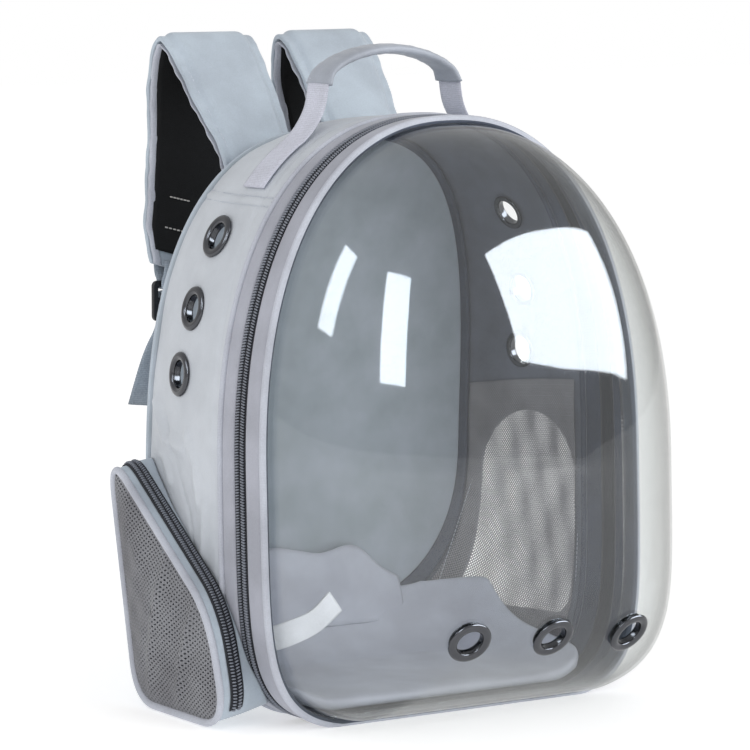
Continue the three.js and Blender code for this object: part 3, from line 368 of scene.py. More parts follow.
def smooth_path(points, count):
    """Centripetal curve through points, cut into count equal lengths: count + 1 points."""
    p = np.asarray(points, float)
    p = np.vstack([2 * p[0] - p[1], p, 2 * p[-1] - p[-2]])
    out = []
    for a, b, c, d in zip(p[:-3], p[1:-2], p[2:-1], p[3:]):
        k0, k1, k2 = (max(np.linalg.norm(q - r), 1e-6) ** 0.5 for q, r in ((b, a), (c, b), (d, c)))
        m1 = ((b - a) / k0 - (c - a) / (k0 + k1) + (c - b) / k1) * k1
        m2 = ((c - b) / k1 - (d - b) / (k1 + k2) + (d - c) / k2) * k1
        t = np.linspace(0, 1, 60, endpoint=False)[:, None]
        out.append((2 * t**3 - 3 * t**2 + 1) * b + (t**3 - 2 * t**2 + t) * m1
                   + (3 * t**2 - 2 * t**3) * c + (t**3 - t**2) * m2)
    line = np.vstack([*out, p[-2:-1]])
    run = np.concatenate([[0], np.cumsum(np.linalg.norm(np.diff(line, axis=0), axis=1))])
    at = np.linspace(0, run[-1], count + 1)
    return np.stack([np.interp(at, run, line[:, k]) for k in range(3)], -1)


def cut_corners(points, times=3):
    """Broken line with its corners cut at a quarter of each side, several times over."""
    p = np.asarray(points, float)
    for _ in range(times):
        q = np.stack([0.75 * p[:-1] + 0.25 * p[1:], 0.25 * p[:-1] + 0.75 * p[1:]], axis=1).reshape(-1, 3)
        p = np.vstack([p[:1], q[1:-1], p[-1:]])
    return p


def course_frame(path, across):
    """Directions across a strip and out of its face at each point of its course."""
    tangent = unit(np.gradient(path, axis=0))
    across = np.broadcast_to(np.asarray(across, float), path.shape)
    across = unit(across - (across * tangent).sum(-1, keepdims=True) * tangent)
    return across, np.cross(tangent, across)


def strip_grid(path, across, width, thickness):
    """Rings of a flat strip with rounded edges, carried along a path: the ends of its two
    faces are drawn in by a third of the thickness."""
    side, face = course_frame(path, across)
    a = np.linspace(-0.5, 0.5, 9)
    lift = np.full(9, 0.5)
    lift[[0, -1]] = 0.15
    ring_a = np.concatenate([a, a[::-1]])
    ring_b = np.concatenate([lift, -lift[::-1]])
    width = np.broadcast_to(np.asarray(width, float), (len(path),))
    return (path[:, None] + side[:, None] * (ring_a[None, :, None] * width[:, None, None])
            + face[:, None] * (ring_b[None, :, None] * thickness))


def mirror(grid):
    """The same grid on the other side of the middle plane."""
    return grid * np.array([-1.0, 1.0, 1.0])


def subdivide(piece):
    """Smooths a piece with one subdivision, the same in view and render."""
    m = piece.modifiers.new("round", "SUBSURF")
    m.levels = m.render_levels = 1


def wall_up(piece, thickness):
    """Gives an open sheet its thickness, in millimetres, half on each side."""
    m = piece.modifiers.new("thickness", "SOLIDIFY")
    m.thickness, m.offset = thickness * 0.001, 0.0
    m.use_even_offset = True


def belongs(piece, node=None):
    """Puts a piece on the body, in the place of a solid if it has one."""
    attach(piece, "root")
    if node:
        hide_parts(node)


def coordinates(mesh):
    """Places of a mesh's vertices, in metres."""
    co = np.zeros(len(mesh.vertices) * 3, np.float32)
    mesh.vertices.foreach_get("co", co)
    return co.reshape(-1, 3).astype(float)


def puff(piece, pinned, pressure, cap, frames=20):
    """Fills a closed cloth piece: a cloth simulation with pressure and no gravity, pinned at
    the vertices that are sewn or rest on something, no point moving more than cap mm."""
    group = piece.vertex_groups.new(name="sewn")
    group.add([int(k) for k in np.flatnonzero(pinned)], 1.0, "REPLACE")
    start = coordinates(piece.data)
    cloth = piece.modifiers.new("fill", "CLOTH")
    s = cloth.settings
    s.quality, s.mass = 5, 0.25
    s.tension_stiffness = s.compression_stiffness = 12.0
    s.shear_stiffness, s.bending_stiffness = 5.0, 0.4
    s.use_pressure, s.uniform_pressure_force = True, pressure
    s.vertex_group_mass = "sewn"
    s.effector_weights.gravity = 0.0
    cloth.point_cache.frame_start, cloth.point_cache.frame_end = 1, frames
    for f in range(1, frames + 1):
        scene.frame_set(f)
    graph = bpy.context.evaluated_depsgraph_get()
    filled = coordinates(piece.evaluated_get(graph).to_mesh())
    move = filled - start
    length = np.linalg.norm(move, axis=1, keepdims=True)
    move *= np.minimum(1, cap * 0.001 / np.maximum(length, 1e-9))
    piece.modifiers.remove(cloth)
    piece.vertex_groups.remove(group)
    piece.data.vertices.foreach_set("co", (start + move).astype(np.float32).ravel())
    piece.data.update()
    scene.frame_set(1)


def carve(piece, cutters):
    """Cuts closed shapes out of a piece and keeps the result as its mesh."""
    for cutter in cutters:
        m = piece.modifiers.new("hole", "BOOLEAN")
        m.operation, m.object, m.solver = "DIFFERENCE", cutter, "EXACT"
    graph = bpy.context.evaluated_depsgraph_get()
    carved = bpy.data.meshes.new_from_object(piece.evaluated_get(graph))
    piece.modifiers.clear()
    piece.data = carved
    for cutter in cutters:
        bpy.data.objects.remove(cutter)


def lathe(name, profile, material, seat):
    """Turned piece: a closed profile of radius and height carried round, set on a seat."""
    turn = np.linspace(0, 2 * np.pi, 64, endpoint=False)[:, None]
    radius, height = profile.T
    grid = np.stack([radius * np.cos(turn), radius * np.sin(turn), height + 0 * turn], -1)
    return surface(name, to_seat(grid, seat), [material], closed=(True, True))


def to_seat(points, seat):
    """Turns a shape made about the Z axis to a place and outward direction."""
    place, out = seat
    side = unit(np.cross([0.0, 0.0, 1.0], out))
    up = np.cross(out, side)
    return place + points[..., :1] * side + points[..., 1:2] * up + points[..., 2:] * out


# Materials

def to_linear(hex_colour):
    """Linear colour of an sRGB hex value."""
    c = np.array([(hex_colour >> shift & 255) / 255 for shift in (16, 8, 0)])
    return (*np.where(c <= 0.04045, c / 12.92, ((c + 0.055) / 1.055) ** 2.4).tolist(), 1.0)


def shade(hex_colour, factor):
    """The same hex colour made lighter or darker by a factor on its sRGB values."""
    parts = [min(255, round((hex_colour >> shift & 255) * factor)) for shift in (16, 8, 0)]
    return parts[0] << 16 | parts[1] << 8 | parts[2]


def add(tree, kind, settings=None, links=None):
    """Adds a shader node. Lower-case keys are its properties, the others its inputs."""
    made = tree.nodes.new(kind)
    for key, value in (settings or {}).items():
        if isinstance(key, str) and key[0].islower():
            setattr(made, key, value)
        else:
            made.inputs[key].default_value = value
    for key, source in (links or {}).items():
        tree.links.new(source, made.inputs[key])
    return made


def new_material(name):
    """Empty material with a principled shader on its output."""
    material = bpy.data.materials.new(name)
    material.use_nodes = True
    tree = material.node_tree
    tree.nodes.clear()
    shader = add(tree, "ShaderNodeBsdfPrincipled")
    out = add(tree, "ShaderNodeOutputMaterial", links={"Surface": shader.outputs[0]})
    return material, tree, shader, out


def band_scale(pitch):
    """Scale of a wave texture whose bands repeat every pitch millimetres."""
    return math.pi / (10 * pitch * 0.001)


def cloth_material(name, colour, threads, depth=0.12, roughness=0.75, sheen=0.25, blotch=0.05,
                   contrast=0.08, warmer=None, crumple=0.0, holes=None):
    """Woven cloth. threads is the spacing of its two sets of threads in millimetres along
    u and v, drawn at 0.6 mm or more where the real one is too fine to show; their bands
    make the bump and a little of the colour. blotch is how much the colour drifts over some
    centimetres, towards warmer if that is given. crumple is the depth of the folds in
    millimetres. holes is the two pitches and the open share of a net."""
    material, tree, shader, _ = new_material(name)
    uv = add(tree, "ShaderNodeUVMap", {"uv_map": "cloth"}).outputs[0]
    bands = [add(tree, "ShaderNodeTexWave", {"wave_type": "BANDS", "bands_direction": axis,
                                             "Scale": band_scale(pitch), "Distortion": 0.4,
                                             "Detail": 1.0}, {"Vector": uv}).outputs["Fac"]
             for axis, pitch in zip("XY", threads)]
    weave = add(tree, "ShaderNodeMath", {"operation": "MULTIPLY"}, {0: bands[0], 1: bands[1]}).outputs[0]
    here = add(tree, "ShaderNodeTexCoord").outputs["Object"]
    drift = add(tree, "ShaderNodeTexNoise", {"Scale": 22.0, "Detail": 3.0, "Roughness": 0.55},
                {"Vector": here})
    fibre = add(tree, "ShaderNodeTexNoise", {"Scale": 900.0, "Detail": 2.0}, {"Vector": here})
    other = warmer if warmer is not None else shade(colour, 1 - 2 * blotch)
    drifted = add(tree, "ShaderNodeMapRange", {"From Min": 0.35, "From Max": 0.65},
                  {"Value": drift.outputs[0]})
    base = add(tree, "ShaderNodeMix", {"data_type": "RGBA", 6: to_linear(shade(colour, 1 + blotch)),
                                       7: to_linear(other)}, {0: drifted.outputs[0]})
    dark = add(tree, "ShaderNodeMapRange", {"To Min": 1 - 2 * contrast, "To Max": 1.0}, {"Value": weave})
    fuzz = add(tree, "ShaderNodeMapRange", {"From Min": 0.3, "From Max": 0.7, "To Min": 1 - contrast,
                                            "To Max": 1 + contrast}, {"Value": fibre.outputs[0]})
    tone = add(tree, "ShaderNodeMath", {"operation": "MULTIPLY"}, {0: dark.outputs[0], 1: fuzz.outputs[0]})
    final = add(tree, "ShaderNodeVectorMath", {"operation": "SCALE"},
                {0: base.outputs[2], "Scale": tone.outputs[0]})
    tree.links.new(final.outputs[0], shader.inputs["Base Color"])
    bump = add(tree, "ShaderNodeBump", {"Strength": 0.6, "Distance": depth * 0.001}, {"Height": weave})
    if crumple:
        folds = add(tree, "ShaderNodeTexNoise", {"Scale": 60.0, "Detail": 4.0, "Distortion": 1.2},
                    {"Vector": here})
        bump = add(tree, "ShaderNodeBump", {"Strength": 0.7, "Distance": crumple * 0.001},
                   {"Height": folds.outputs[0], "Normal": bump.outputs[0]})
    tree.links.new(bump.outputs[0], shader.inputs["Normal"])
    for key, value in {"Roughness": roughness, "Sheen Weight": sheen, "Sheen Roughness": 0.4,
                       "Specular IOR Level": 0.35}.items():
        shader.inputs[key].default_value = value
    if holes:
        pitch_u, pitch_v, share = holes
        split = add(tree, "ShaderNodeSeparateXYZ", links={0: uv})
        waves = []
        for output, pitch in ((0, pitch_u), (1, pitch_v)):
            turn = add(tree, "ShaderNodeMath", {"operation": "MULTIPLY", 1: 2 * math.pi / (pitch * 0.001)},
                       {0: split.outputs[output]})
            wave = add(tree, "ShaderNodeMath", {"operation": "COSINE"}, {0: turn.outputs[0]})
            waves.append(wave.outputs[0])
        lattice = add(tree, "ShaderNodeMath", {"operation": "MULTIPLY"}, {0: waves[0], 1: waves[1]})
        edge = math.cos(math.pi * share)
        alpha = add(tree, "ShaderNodeMapRange", {"From Min": edge + 0.18, "From Max": edge - 0.18},
                    {"Value": lattice.outputs[0]})
        tree.links.new(alpha.outputs[0], shader.inputs["Alpha"])
    return material


GRAIN_SIZE = 0.6


def plain_material(name, colour, roughness, metallic=0.0, grain=0.0, mottle=0.04):
    """Smooth moulded or plated surface with a fine grain and a slow drift of its tone."""
    material, tree, shader, _ = new_material(name)
    here = add(tree, "ShaderNodeTexCoord").outputs["Object"]
    drift = add(tree, "ShaderNodeTexNoise", {"Scale": 40.0, "Detail": 3.0}, {"Vector": here})
    base = add(tree, "ShaderNodeMix", {"data_type": "RGBA", 6: to_linear(shade(colour, 1 + mottle)),
                                       7: to_linear(shade(colour, 1 - 2 * mottle))}, {0: drift.outputs[0]})
    tree.links.new(base.outputs[2], shader.inputs["Base Color"])
    rough = add(tree, "ShaderNodeMapRange", {"To Min": roughness * 0.8, "To Max": roughness * 1.25},
                {"Value": drift.outputs[0]})
    tree.links.new(rough.outputs[0], shader.inputs["Roughness"])
    if grain:
        fine = add(tree, "ShaderNodeTexNoise", {"Scale": 1000 / GRAIN_SIZE, "Detail": 2.0}, {"Vector": here})
        bump = add(tree, "ShaderNodeBump", {"Strength": 0.4, "Distance": grain * 0.001},
                   {"Height": fine.outputs[0]})
        tree.links.new(bump.outputs[0], shader.inputs["Normal"])
    shader.inputs["Metallic"].default_value = metallic
    return material


# Coated oxford polyester, plain woven: a smooth silver-grey with a soft satin sheen.
OXFORD = cloth_material("coated_oxford_polyester", 0xC4C9D0, (0.7, 0.7), 0.08, 0.52, 0.2, 0.02, 0.02,
                        crumple=0.5)
# The same cloth laid flat beside the zip: a shade darker, slightly violet.
GUSSET_TAPE = cloth_material("oxford_polyester_zip_facing", 0xA9ABB6, (0.8, 0.8), 0.1, 0.6, 0.2, 0.03, 0.04)
# Folded bias tape over a cord: pale, with fine ribs across it and a soft nap.
PIPING_CLOTH = cloth_material("bias_tape_piping", 0xBFC3CE, (1.1, 0.8), 0.2, 0.7, 0.35, 0.03, 0.06)
# Taffeta lining: dark blue-grey, smooth, with a faint sheen.
LINING = cloth_material("taffeta_lining", 0x646974, (0.6, 0.6), 0.04, 0.6, 0.1, 0.06, 0.02, crumple=0.6)
# Heavier lining of the padded back: mid grey with a slow green-grey drift.
BACK_LINING = cloth_material("padded_back_lining", 0xA6AEB8, (0.7, 0.7), 0.03, 0.65, 0.1, 0.03, 0.015,
                             warmer=0x98A2AA)
# Woven seam tape: navy-grey, ribbed.
SEAM_TAPE = cloth_material("woven_seam_tape", 0x434A5A, (1.2, 2.0), 0.12, 0.7, 0.2, 0.08, 0.1)
# Mat cover of brushed polyester: lilac-grey, matt and soft.
MAT_CLOTH = cloth_material("brushed_polyester_mat_cover", 0xBFC3D0, (0.9, 0.9), 0.04, 0.8, 0.3, 0.03, 0.02)
# Strap cloth: blue-grey oxford, plain woven over foam.
STRAP_CLOTH = cloth_material("oxford_polyester_strap_cover", 0xB5C0CB, (0.8, 0.8), 0.1, 0.62, 0.25, 0.03,
                             0.04)
# The same cloth wrapped tight over the handle's core, in a greyer tone.
GRIP_CLOTH = cloth_material("oxford_polyester_handle_wrap", 0xA5ABB6, (0.8, 0.8), 0.1, 0.62, 0.25, 0.04, 0.04,
                            crumple=0.6)
# Black warp-knit lining of the straps: swallows light, a little nap.
BLACK_KNIT = cloth_material("warp_knit_strap_lining", 0x08090B, (1.4, 1.4), 0.2, 0.9, 0.0, 0.2, 0.2)
# Ribbed polypropylene webbing: pale lilac with close cross ribs.
WEBBING = cloth_material("polypropylene_webbing", 0xD3D5E2, (1.5, 1.2), 0.35, 0.6, 0.2, 0.03, 0.1)
# Soft tether ribbon: the palest cloth here, loosely woven and almost without ribs.
TETHER_CLOTH = cloth_material("soft_polyester_ribbon", 0xEEF0F8, (1.0, 1.0), 0.1, 0.7, 0.3, 0.03, 0.04,
                              crumple=0.8)
# Blue-grey webbing of the strap ends: the same weave in the strap's colour.
STRAP_WEBBING = cloth_material("dyed_polypropylene_webbing", 0xA9B4C0, (1.5, 1.2), 0.35, 0.6, 0.2, 0.05, 0.14)
# Knitted pocket net: brown-grey yarn round open holes, drawn at 2.6 mm.
POCKET_NET = cloth_material("knitted_polyester_net", 0x87888D, (2.6, 2.6), 0.3, 0.8, 0.2, 0.05, 0.1,
                            holes=(5.2, 3.4, 0.36))
# Finer window net of the right wall: grey-brown yarn, its holes drawn about 2 mm apart.
WINDOW_NET = cloth_material("fine_window_net", 0x9E9CA0, (2.0, 2.0), 0.08, 0.8, 0.1, 0.05, 0.06,
                            holes=(2.8, 2.0, 0.46))
# Nylon coil zip: slate teeth with a soft shine on a near-black woven tape; the tape's near-black is partly
# its own colour and partly painted shade of the grooves beside the teeth.
COIL = plain_material("nylon_coil", 0x80858F, 0.35, grain=0.03)
COIL_TAPE = cloth_material("woven_zip_tape", 0x26282F, (0.8, 0.8), 0.1, 0.75, 0.1, 0.05, 0.1)
# Polyester thread: two plies twisted, a little lighter than the cloth it sews.
THREAD = plain_material("polyester_thread", 0xBCC2CC, 0.6)
PALE_THREAD = plain_material("pale_polyester_thread", 0xC9C6C2, 0.6)
# Black nickel plated steel: dark, neutral grey mirror on a rolled rim.
BLACK_NICKEL = plain_material("black_nickel_plated_steel", 0x55565A, 0.18, 1.0, mottle=0.06)
# Acetal ladder buckle, injection moulded: black with a faint grain and satin gloss.
ACETAL = plain_material("moulded_black_acetal", 0x15161A, 0.35, grain=0.02)


def clear_shell_material():
    """Vacuum-formed clear PVC: what is behind it shows with a faint grey tint of its own, greyer towards its
    edges as a painted reflection of dark surroundings, and it mirrors its surroundings more the flatter the
    view, as 0.05 + 0.7 f^5."""
    material, tree, shader, out = new_material("vacuum_formed_clear_pvc")
    facing = add(tree, "ShaderNodeLayerWeight", {"Blend": 0.5}).outputs["Facing"]
    steep = add(tree, "ShaderNodeMath", {"operation": "POWER", 1: 5.0}, {0: facing})
    mirrored = add(tree, "ShaderNodeMath", {"operation": "MULTIPLY_ADD", 1: 0.7, 2: 0.05},
                   {0: steep.outputs[0]})
    # The see-through part turns greyer towards grazing views: painted reflection of dark surroundings over
    # the plastic's own faint tint.
    edge = add(tree, "ShaderNodeMath", {"operation": "POWER", 1: 3.0}, {0: facing})
    tint = add(tree, "ShaderNodeMix", {"data_type": "RGBA", 6: to_linear(0xFBFCFC), 7: to_linear(0xCFCFCC)},
               {0: edge.outputs[0]})
    clear = add(tree, "ShaderNodeBsdfTransparent", links={"Color": tint.outputs[2]})
    shader.inputs["Base Color"].default_value = to_linear(0xF2F3F4)
    shader.inputs["Metallic"].default_value = 1.0
    shader.inputs["Roughness"].default_value = 0.045
    both = add(tree, "ShaderNodeMixShader", links={0: mirrored.outputs[0], 1: clear.outputs[0],
                                                   2: shader.outputs[0]})
    tree.links.new(both.outputs[0], out.inputs["Surface"])
    return material


CLEAR_SHELL = clear_shell_material()


# Front frame

AROUND = round_the_body(480)


def ring_piece(name, backs, insets, materials, slots=None):
    """Band or cord round the body: its cross-section is a closed row of distances back and
    insets, carried round the outline."""
    grid = body_point(AROUND[:, None], np.asarray(backs)[None, :], np.asarray(insets)[None, :])
    return surface(name, grid, materials, closed=(True, True), slots=slots)


def cord_section(back, inset, radius, count=14):
    """Round cross-section of a piping."""
    t = (np.arange(count) + 0.5) * 2 * np.pi / count
    return back + radius * np.cos(t), inset + radius * np.sin(t)


def band_section(front, back, outer, inner, columns=14, crown=0.0, edge=0.9):
    """Flat band with rolled edges: out along the crowned outer face, back along the inner."""
    u = np.linspace(0, 1, columns)
    lift = crown * (1 - (2 * u - 1) ** 4) - edge * np.exp(-u * (back - front) / 0.8) \
        - edge * np.exp(-(1 - u) * (back - front) / 0.8)
    backs = np.concatenate([front + u * (back - front), back + (front - back) * u])
    insets = np.concatenate([outer - lift, np.full(columns, inner)])
    return backs, insets


CORD_SLOTS = [1 if math.sin((k + 1) * 2 * math.pi / 14) > 0.2 else 0 for k in range(14)]
front_piping = ring_piece("front_piping_cord", *cord_section(0.0, PIPING_INSET, PIPING_RADIUS),
                          [PIPING_CLOTH, SEAM_TAPE], slots=CORD_SLOTS)
rear_piping = ring_piece("rear_piping_cord", *cord_section(REAR_PIPING, PIPING_INSET, PIPING_RADIUS),
                         [PIPING_CLOTH, SEAM_TAPE], slots=CORD_SLOTS)
hoop_section = band_section(HOOP_FRONT, HOOP_BACK, 0.0, WALL, 22, 0.5)
hoop = ring_piece("front_hoop_cloth", *hoop_section, [GUSSET_TAPE, SEAM_TAPE], slots=[0] * 22 + [1] * 22)
tape_section = band_section(TAPE_FRONT, TAPE_BACK, 0.0, WALL, 16, 0.4)
tape = ring_piece("zip_tape_cloth", *tape_section, [GUSSET_TAPE, SEAM_TAPE], slots=[0] * 16 + [1] * 16)


def zip_teeth(name, centre_line, outward, across, width, pitch, height):
    """Two rows of coil teeth beside a line: rounded bars that lie across it, one at each
    point. They stand about 2 mm apart, coarser than real ones, so that they show."""
    template, faces = capsule()
    origins, axes = [], []
    for row in (-1, 1):
        bars = width * 0.36
        origins.append(centre_line + across * row * width * 0.28 + outward * 0.1)
        lean = unit(across + 0.22 * row * np.cross(outward, across))
        axes.append(np.stack([lean * bars, np.cross(outward, lean) * pitch * 0.56, outward * height], axis=1))
    return repeated(name, template, faces, np.concatenate(origins), np.concatenate(axes), COIL)


coil_middle = (HOOP_BACK + COIL_BACK) / 2
# The near-black tape showing beside and between the teeth is partly painted shade of the grooves there.
coil_tape = ring_piece("zip_coil_tape", *band_section(HOOP_BACK + GAP, COIL_BACK, 0.9, WALL, 6, 0.0, 0.2),
                       [COIL_TAPE])
coil_angles = round_the_body(640)
coil_line = body_point(coil_angles, coil_middle, 0.1)
coil_out = unit(coil_line - body_point(coil_angles, coil_middle, 3.0))
coil_across = unit(body_point(coil_angles, coil_middle + 2, 0.1) - coil_line)
lowest = coil_line[:, 2] < 1.2
coil_line[lowest] += np.array([0, 0, 1.2])
teeth = zip_teeth("zip_coil_teeth", coil_line, coil_out, coil_across, 11.8, 2.05, 2.0)

# Side wall: a padded cloth skin, its holes for the eyelets and the arched window.
SEAM_Z = 365.0
WALL_WAVES = [(0.35, 90, 140, 0.4), (0.25, -60, 110, 1.9), (0.18, 45, -70, 3.0)]
LEFT_CREASES = [
    (((150, 205), (128, 168), (108, 140), (98, 100)), 1.6, -1.3),
    (((172, 214), (150, 190), (120, 186)), 5.0, 3.2),
    (((112, 196), (98, 178), (92, 150)), 4.5, 2.6),
    (((168, 182), (150, 176), (140, 160)), 4.0, 2.6),
    (((84, 150), (90, 110), (84, 70)), 4.2, 2.0),
]


def wall_relief(grid, normals):
    """Height of the wall's outer skin over its plain form: slow waves, a pinched start at
    the piping, the grooves of the top panel's double seam, and a few creases on the left."""
    x, y, z = grid[..., 0], grid[..., 1], grid[..., 2]
    height = ripple(y, z, WALL_WAVES) * np.clip((y - WALL_FRONT) / 12, 0, 1)
    height = height - 0.9 * np.exp(-(((y - WALL_FRONT - FRONT_LEAN * z) / 3.0) ** 2))
    sides = np.abs(x) > 40
    for drop in (0.0, 6.0):
        height = height - 0.55 * np.exp(-(((z - SEAM_Z + drop) / 1.3) ** 2)) * sides
    height = height + 0.8 * np.exp(-(((z - SEAM_Z + 3.0) / 2.2) ** 2)) * sides
    left = x < 0
    for path, width, size in LEFT_CREASES:
        height = height + left * size * ridge_at(y, z, path, width)
    height = np.where(z < 1.0, 0.0, height)
    return normals * np.clip(height, -1.3, 4.0)[..., None]


WALL_BACKS = np.concatenate([[WALL_FRONT], np.linspace(WALL_FRONT + 1.5, DEPTH - 1, 64), [DEPTH]])
wall_outer = body_point(AROUND[:, None], WALL_BACKS[None, :], 0.0)
wall_normals = grid_normals(wall_outer, (True, False))
wall_normals *= np.sign((wall_normals * (wall_outer - np.array([0, 100, 180]))).sum(-1).mean())
wall_inner = body_point(AROUND[:, None], WALL_BACKS[None, :], WALL)
wall_grid = shell(wall_outer + wall_relief(wall_outer, wall_normals), wall_inner)
wall = surface("side_wall_cloth", wall_grid, [OXFORD, LINING], closed=(True, True),
               slots=[0] * len(WALL_BACKS) + [1] * len(WALL_BACKS))

WINDOW_FRONT, WINDOW_WIDTH, WINDOW_BOTTOM, WINDOW_HEIGHT = 72.0, 96.0, 44.0, 148.0


def arch_outline(grow=0.0):
    """Outline of the arched window in distance back and height: a half circle on a
    rectangle with rounded lower corners."""
    front, back = WINDOW_FRONT - grow, WINDOW_FRONT + WINDOW_WIDTH + grow
    low, high = WINDOW_BOTTOM - grow, WINDOW_BOTTOM + WINDOW_HEIGHT + grow
    r, corner = (back - front) / 2, WINDOW_WIDTH / 8
    t = np.linspace(0, np.pi, 48)
    q = np.linspace(-np.pi / 2, 0, 12)
    parts = [
        np.stack([back - corner + corner * np.cos(q), low + corner + corner * np.sin(q)], -1),
        np.stack([(front + back) / 2 + r * np.cos(t), high - r + r * np.sin(t)], -1),
        np.stack([front + corner - corner * np.cos(q[::-1]), low + corner + corner * np.sin(q[::-1])], -1),
    ]
    return np.concatenate(parts)


def prism(name, outline, near, far):
    """Closed prism along X over an outline in distance back and height."""
    rows = [np.column_stack([np.full(len(outline), x), outline]) for x in (near, far)]
    return surface(name, np.array(rows), [LINING], closed=(False, True), caps="point", smooth=False)


def cutter_at(seat, radius):
    """Round bar through a seat, to cut an eyelet's hole."""
    t = np.linspace(0, 2 * np.pi, 48, endpoint=False)
    rows = [np.stack([radius * np.cos(t), radius * np.sin(t), np.full(48, h)], -1) for h in (-30.0, 30.0)]
    return surface("cutter", to_seat(np.array(rows), seat), [BLACK_NICKEL], closed=(False, True),
                   caps="point", smooth=False)


# The right wall's top eyelet sits a little higher than the left one.
RIGHT_TOP_RISE = 8
eyelet_seats = {}
for name, side in (("left", -1), ("right", 1)):
    for place, (h, d) in WALL_EYELETS.items():
        rise = RIGHT_TOP_RISE if (side, place) == (1, "top") else 0
        eyelet_seats[f"{name}_eyelet_{place}"] = wall_seat(h * HEIGHT + rise, d * DEPTH, side)
carve(wall, [prism("window_cutter", arch_outline(), 82, 300)]
      + [cutter_at(seat, EYELET_HOLE + 1.7) for seat in eyelet_seats.values()])

# Bubble: the frame's inside outline drawn in to the nose on an ellipse.


def bubble_point(angle, turn, skin=0.0):
    """Point of the bubble: the rim pulled towards the nose by the cosine of turn while it
    comes forward by its sine."""
    rim = body_point(angle, 0.0, BUBBLE_INSET + skin)
    pull = np.cos(turn)
    return np.stack([pull * rim[..., 0], pull * rim[..., 1] - (BUBBLE_DEPTH - skin) * np.sin(turn),
                     NOSE_HEIGHT + pull * (rim[..., 2] - NOSE_HEIGHT)], -1)


def bubble_skin(skin):
    """Rows of one face of the bubble from its flange to the ring next to its nose."""
    angles = round_the_body(320)[None, :]
    flange = body_point(angles, 0.0, BUBBLE_INSET + skin)
    rows = [flange + np.array([0, back, 0]) for back in (BUBBLE_FLANGE, 4.0)]
    turns = np.concatenate([[0.0], np.linspace(0.02, 0.985, 56)])[:, None] * np.pi / 2
    return np.concatenate([*rows, bubble_point(np.broadcast_to(angles, (57, 320)), turns, skin)])


bubble = surface("bubble_shell", np.concatenate([bubble_skin(BUBBLE_WALL)[::-1], bubble_skin(0.0)]),
                 [CLEAR_SHELL], closed=(False, True), caps="point")


def bubble_seat(x, z):
    """Place and outward direction of the bubble in front of a place across and up."""
    angles, turns = np.meshgrid(round_the_body(1200), np.linspace(0.2, 1.5, 500), indexing="ij")
    points = bubble_point(angles, turns)
    i, j = np.unravel_index(np.argmin(np.hypot(points[..., 0] - x, points[..., 2] - z)), turns.shape)
    a, t = angles[i, j], turns[i, j]
    here = points[i, j]
    out = np.cross(bubble_point(a + 1e-3, t) - here, bubble_point(a, t + 1e-3) - here)
    return here, out * -np.sign(out[1]) / np.linalg.norm(out)


for k, n in enumerate((-1, 0, 1)):
    eyelet_seats[f"bubble_eyelet_{k + 1}"] = bubble_seat(n * 71.0 + 2.0 * (1 - abs(n)), 67.0 - 4.0 * n)
carve(bubble, [cutter_at(eyelet_seats[f"bubble_eyelet_{k}"], EYELET_HOLE + 1.7) for k in (1, 2, 3)])


def eyelet_profile(wall):
    """Cross-section of an eyelet: a domed rim, a barrel through the wall and a washer."""
    dome = np.linspace(0, np.pi, 13)
    rim = np.stack([EYELET_RADIUS - 3.2 + 3.2 * np.cos(dome), GAP + 2.3 * np.sin(dome) ** 0.8], -1)
    low = -wall - 1.6
    barrel = [(9.6, -0.4), (9.55, low + 0.4), (9.9, low - 0.9), (11.0, low - 1.4), (13.0, low - 1.2),
              (13.8, low - 0.5), (13.0, low), (11.1, low + 0.2), (11.0, GAP - 0.2)]
    return np.vstack([rim, barrel])


for name, seat in eyelet_seats.items():
    ring = lathe(name + "_ring", eyelet_profile(WALL), BLACK_NICKEL, seat)
    belongs(ring, name)

# Back panel: a padded cushion sewn to the rear edge of the wall.
PANEL_THICKNESS, PANEL_CROWN = 8.0, 6.0


def panel_point(angle, share, off):
    """Point of the back panel: the wall's rear outline drawn in by share, off behind it."""
    rim = body_point(angle, DEPTH)
    middle = body_value("wide", 1.0) * HEIGHT
    z = middle + share * (rim[..., 2] - middle)
    return np.stack([share * rim[..., 0], DEPTH - sweep_at(z) + off, z], -1)


def back_pad():
    """Cushion of two faces: the front one follows the wall's end, the rear one is crowned
    and pinched where the edge is sewn."""
    angles = round_the_body(120)[None, :]
    shares = np.array([0.06, 0.2, 0.34, 0.48, 0.62, 0.74, 0.84, 0.91, 0.96, 0.99])[:, None]
    crown = PANEL_THICKNESS + PANEL_CROWN * (1 - shares**2) - 1.8 * np.exp(-(((shares - 0.94) / 0.02) ** 2))
    front = panel_point(angles, shares, GAP)
    rear = panel_point(angles, shares, GAP + crown)
    edge = [panel_point(angles, np.array([[s]]), GAP + PANEL_THICKNESS * d)
            for s, d in ((1.0, 0.06), (1.008, 0.25), (1.01, 0.5), (1.004, 0.8))]
    grid = np.concatenate([front, *edge, rear[::-1]])
    return grid, [0] * (len(shares) + 1) + [1] * (len(shares) + 3)


panel_grid, panel_rows = back_pad()
panel = surface("back_pad", panel_grid.transpose(1, 0, 2), [BACK_LINING, STRAP_CLOTH],
                closed=(True, False), slots=panel_rows)


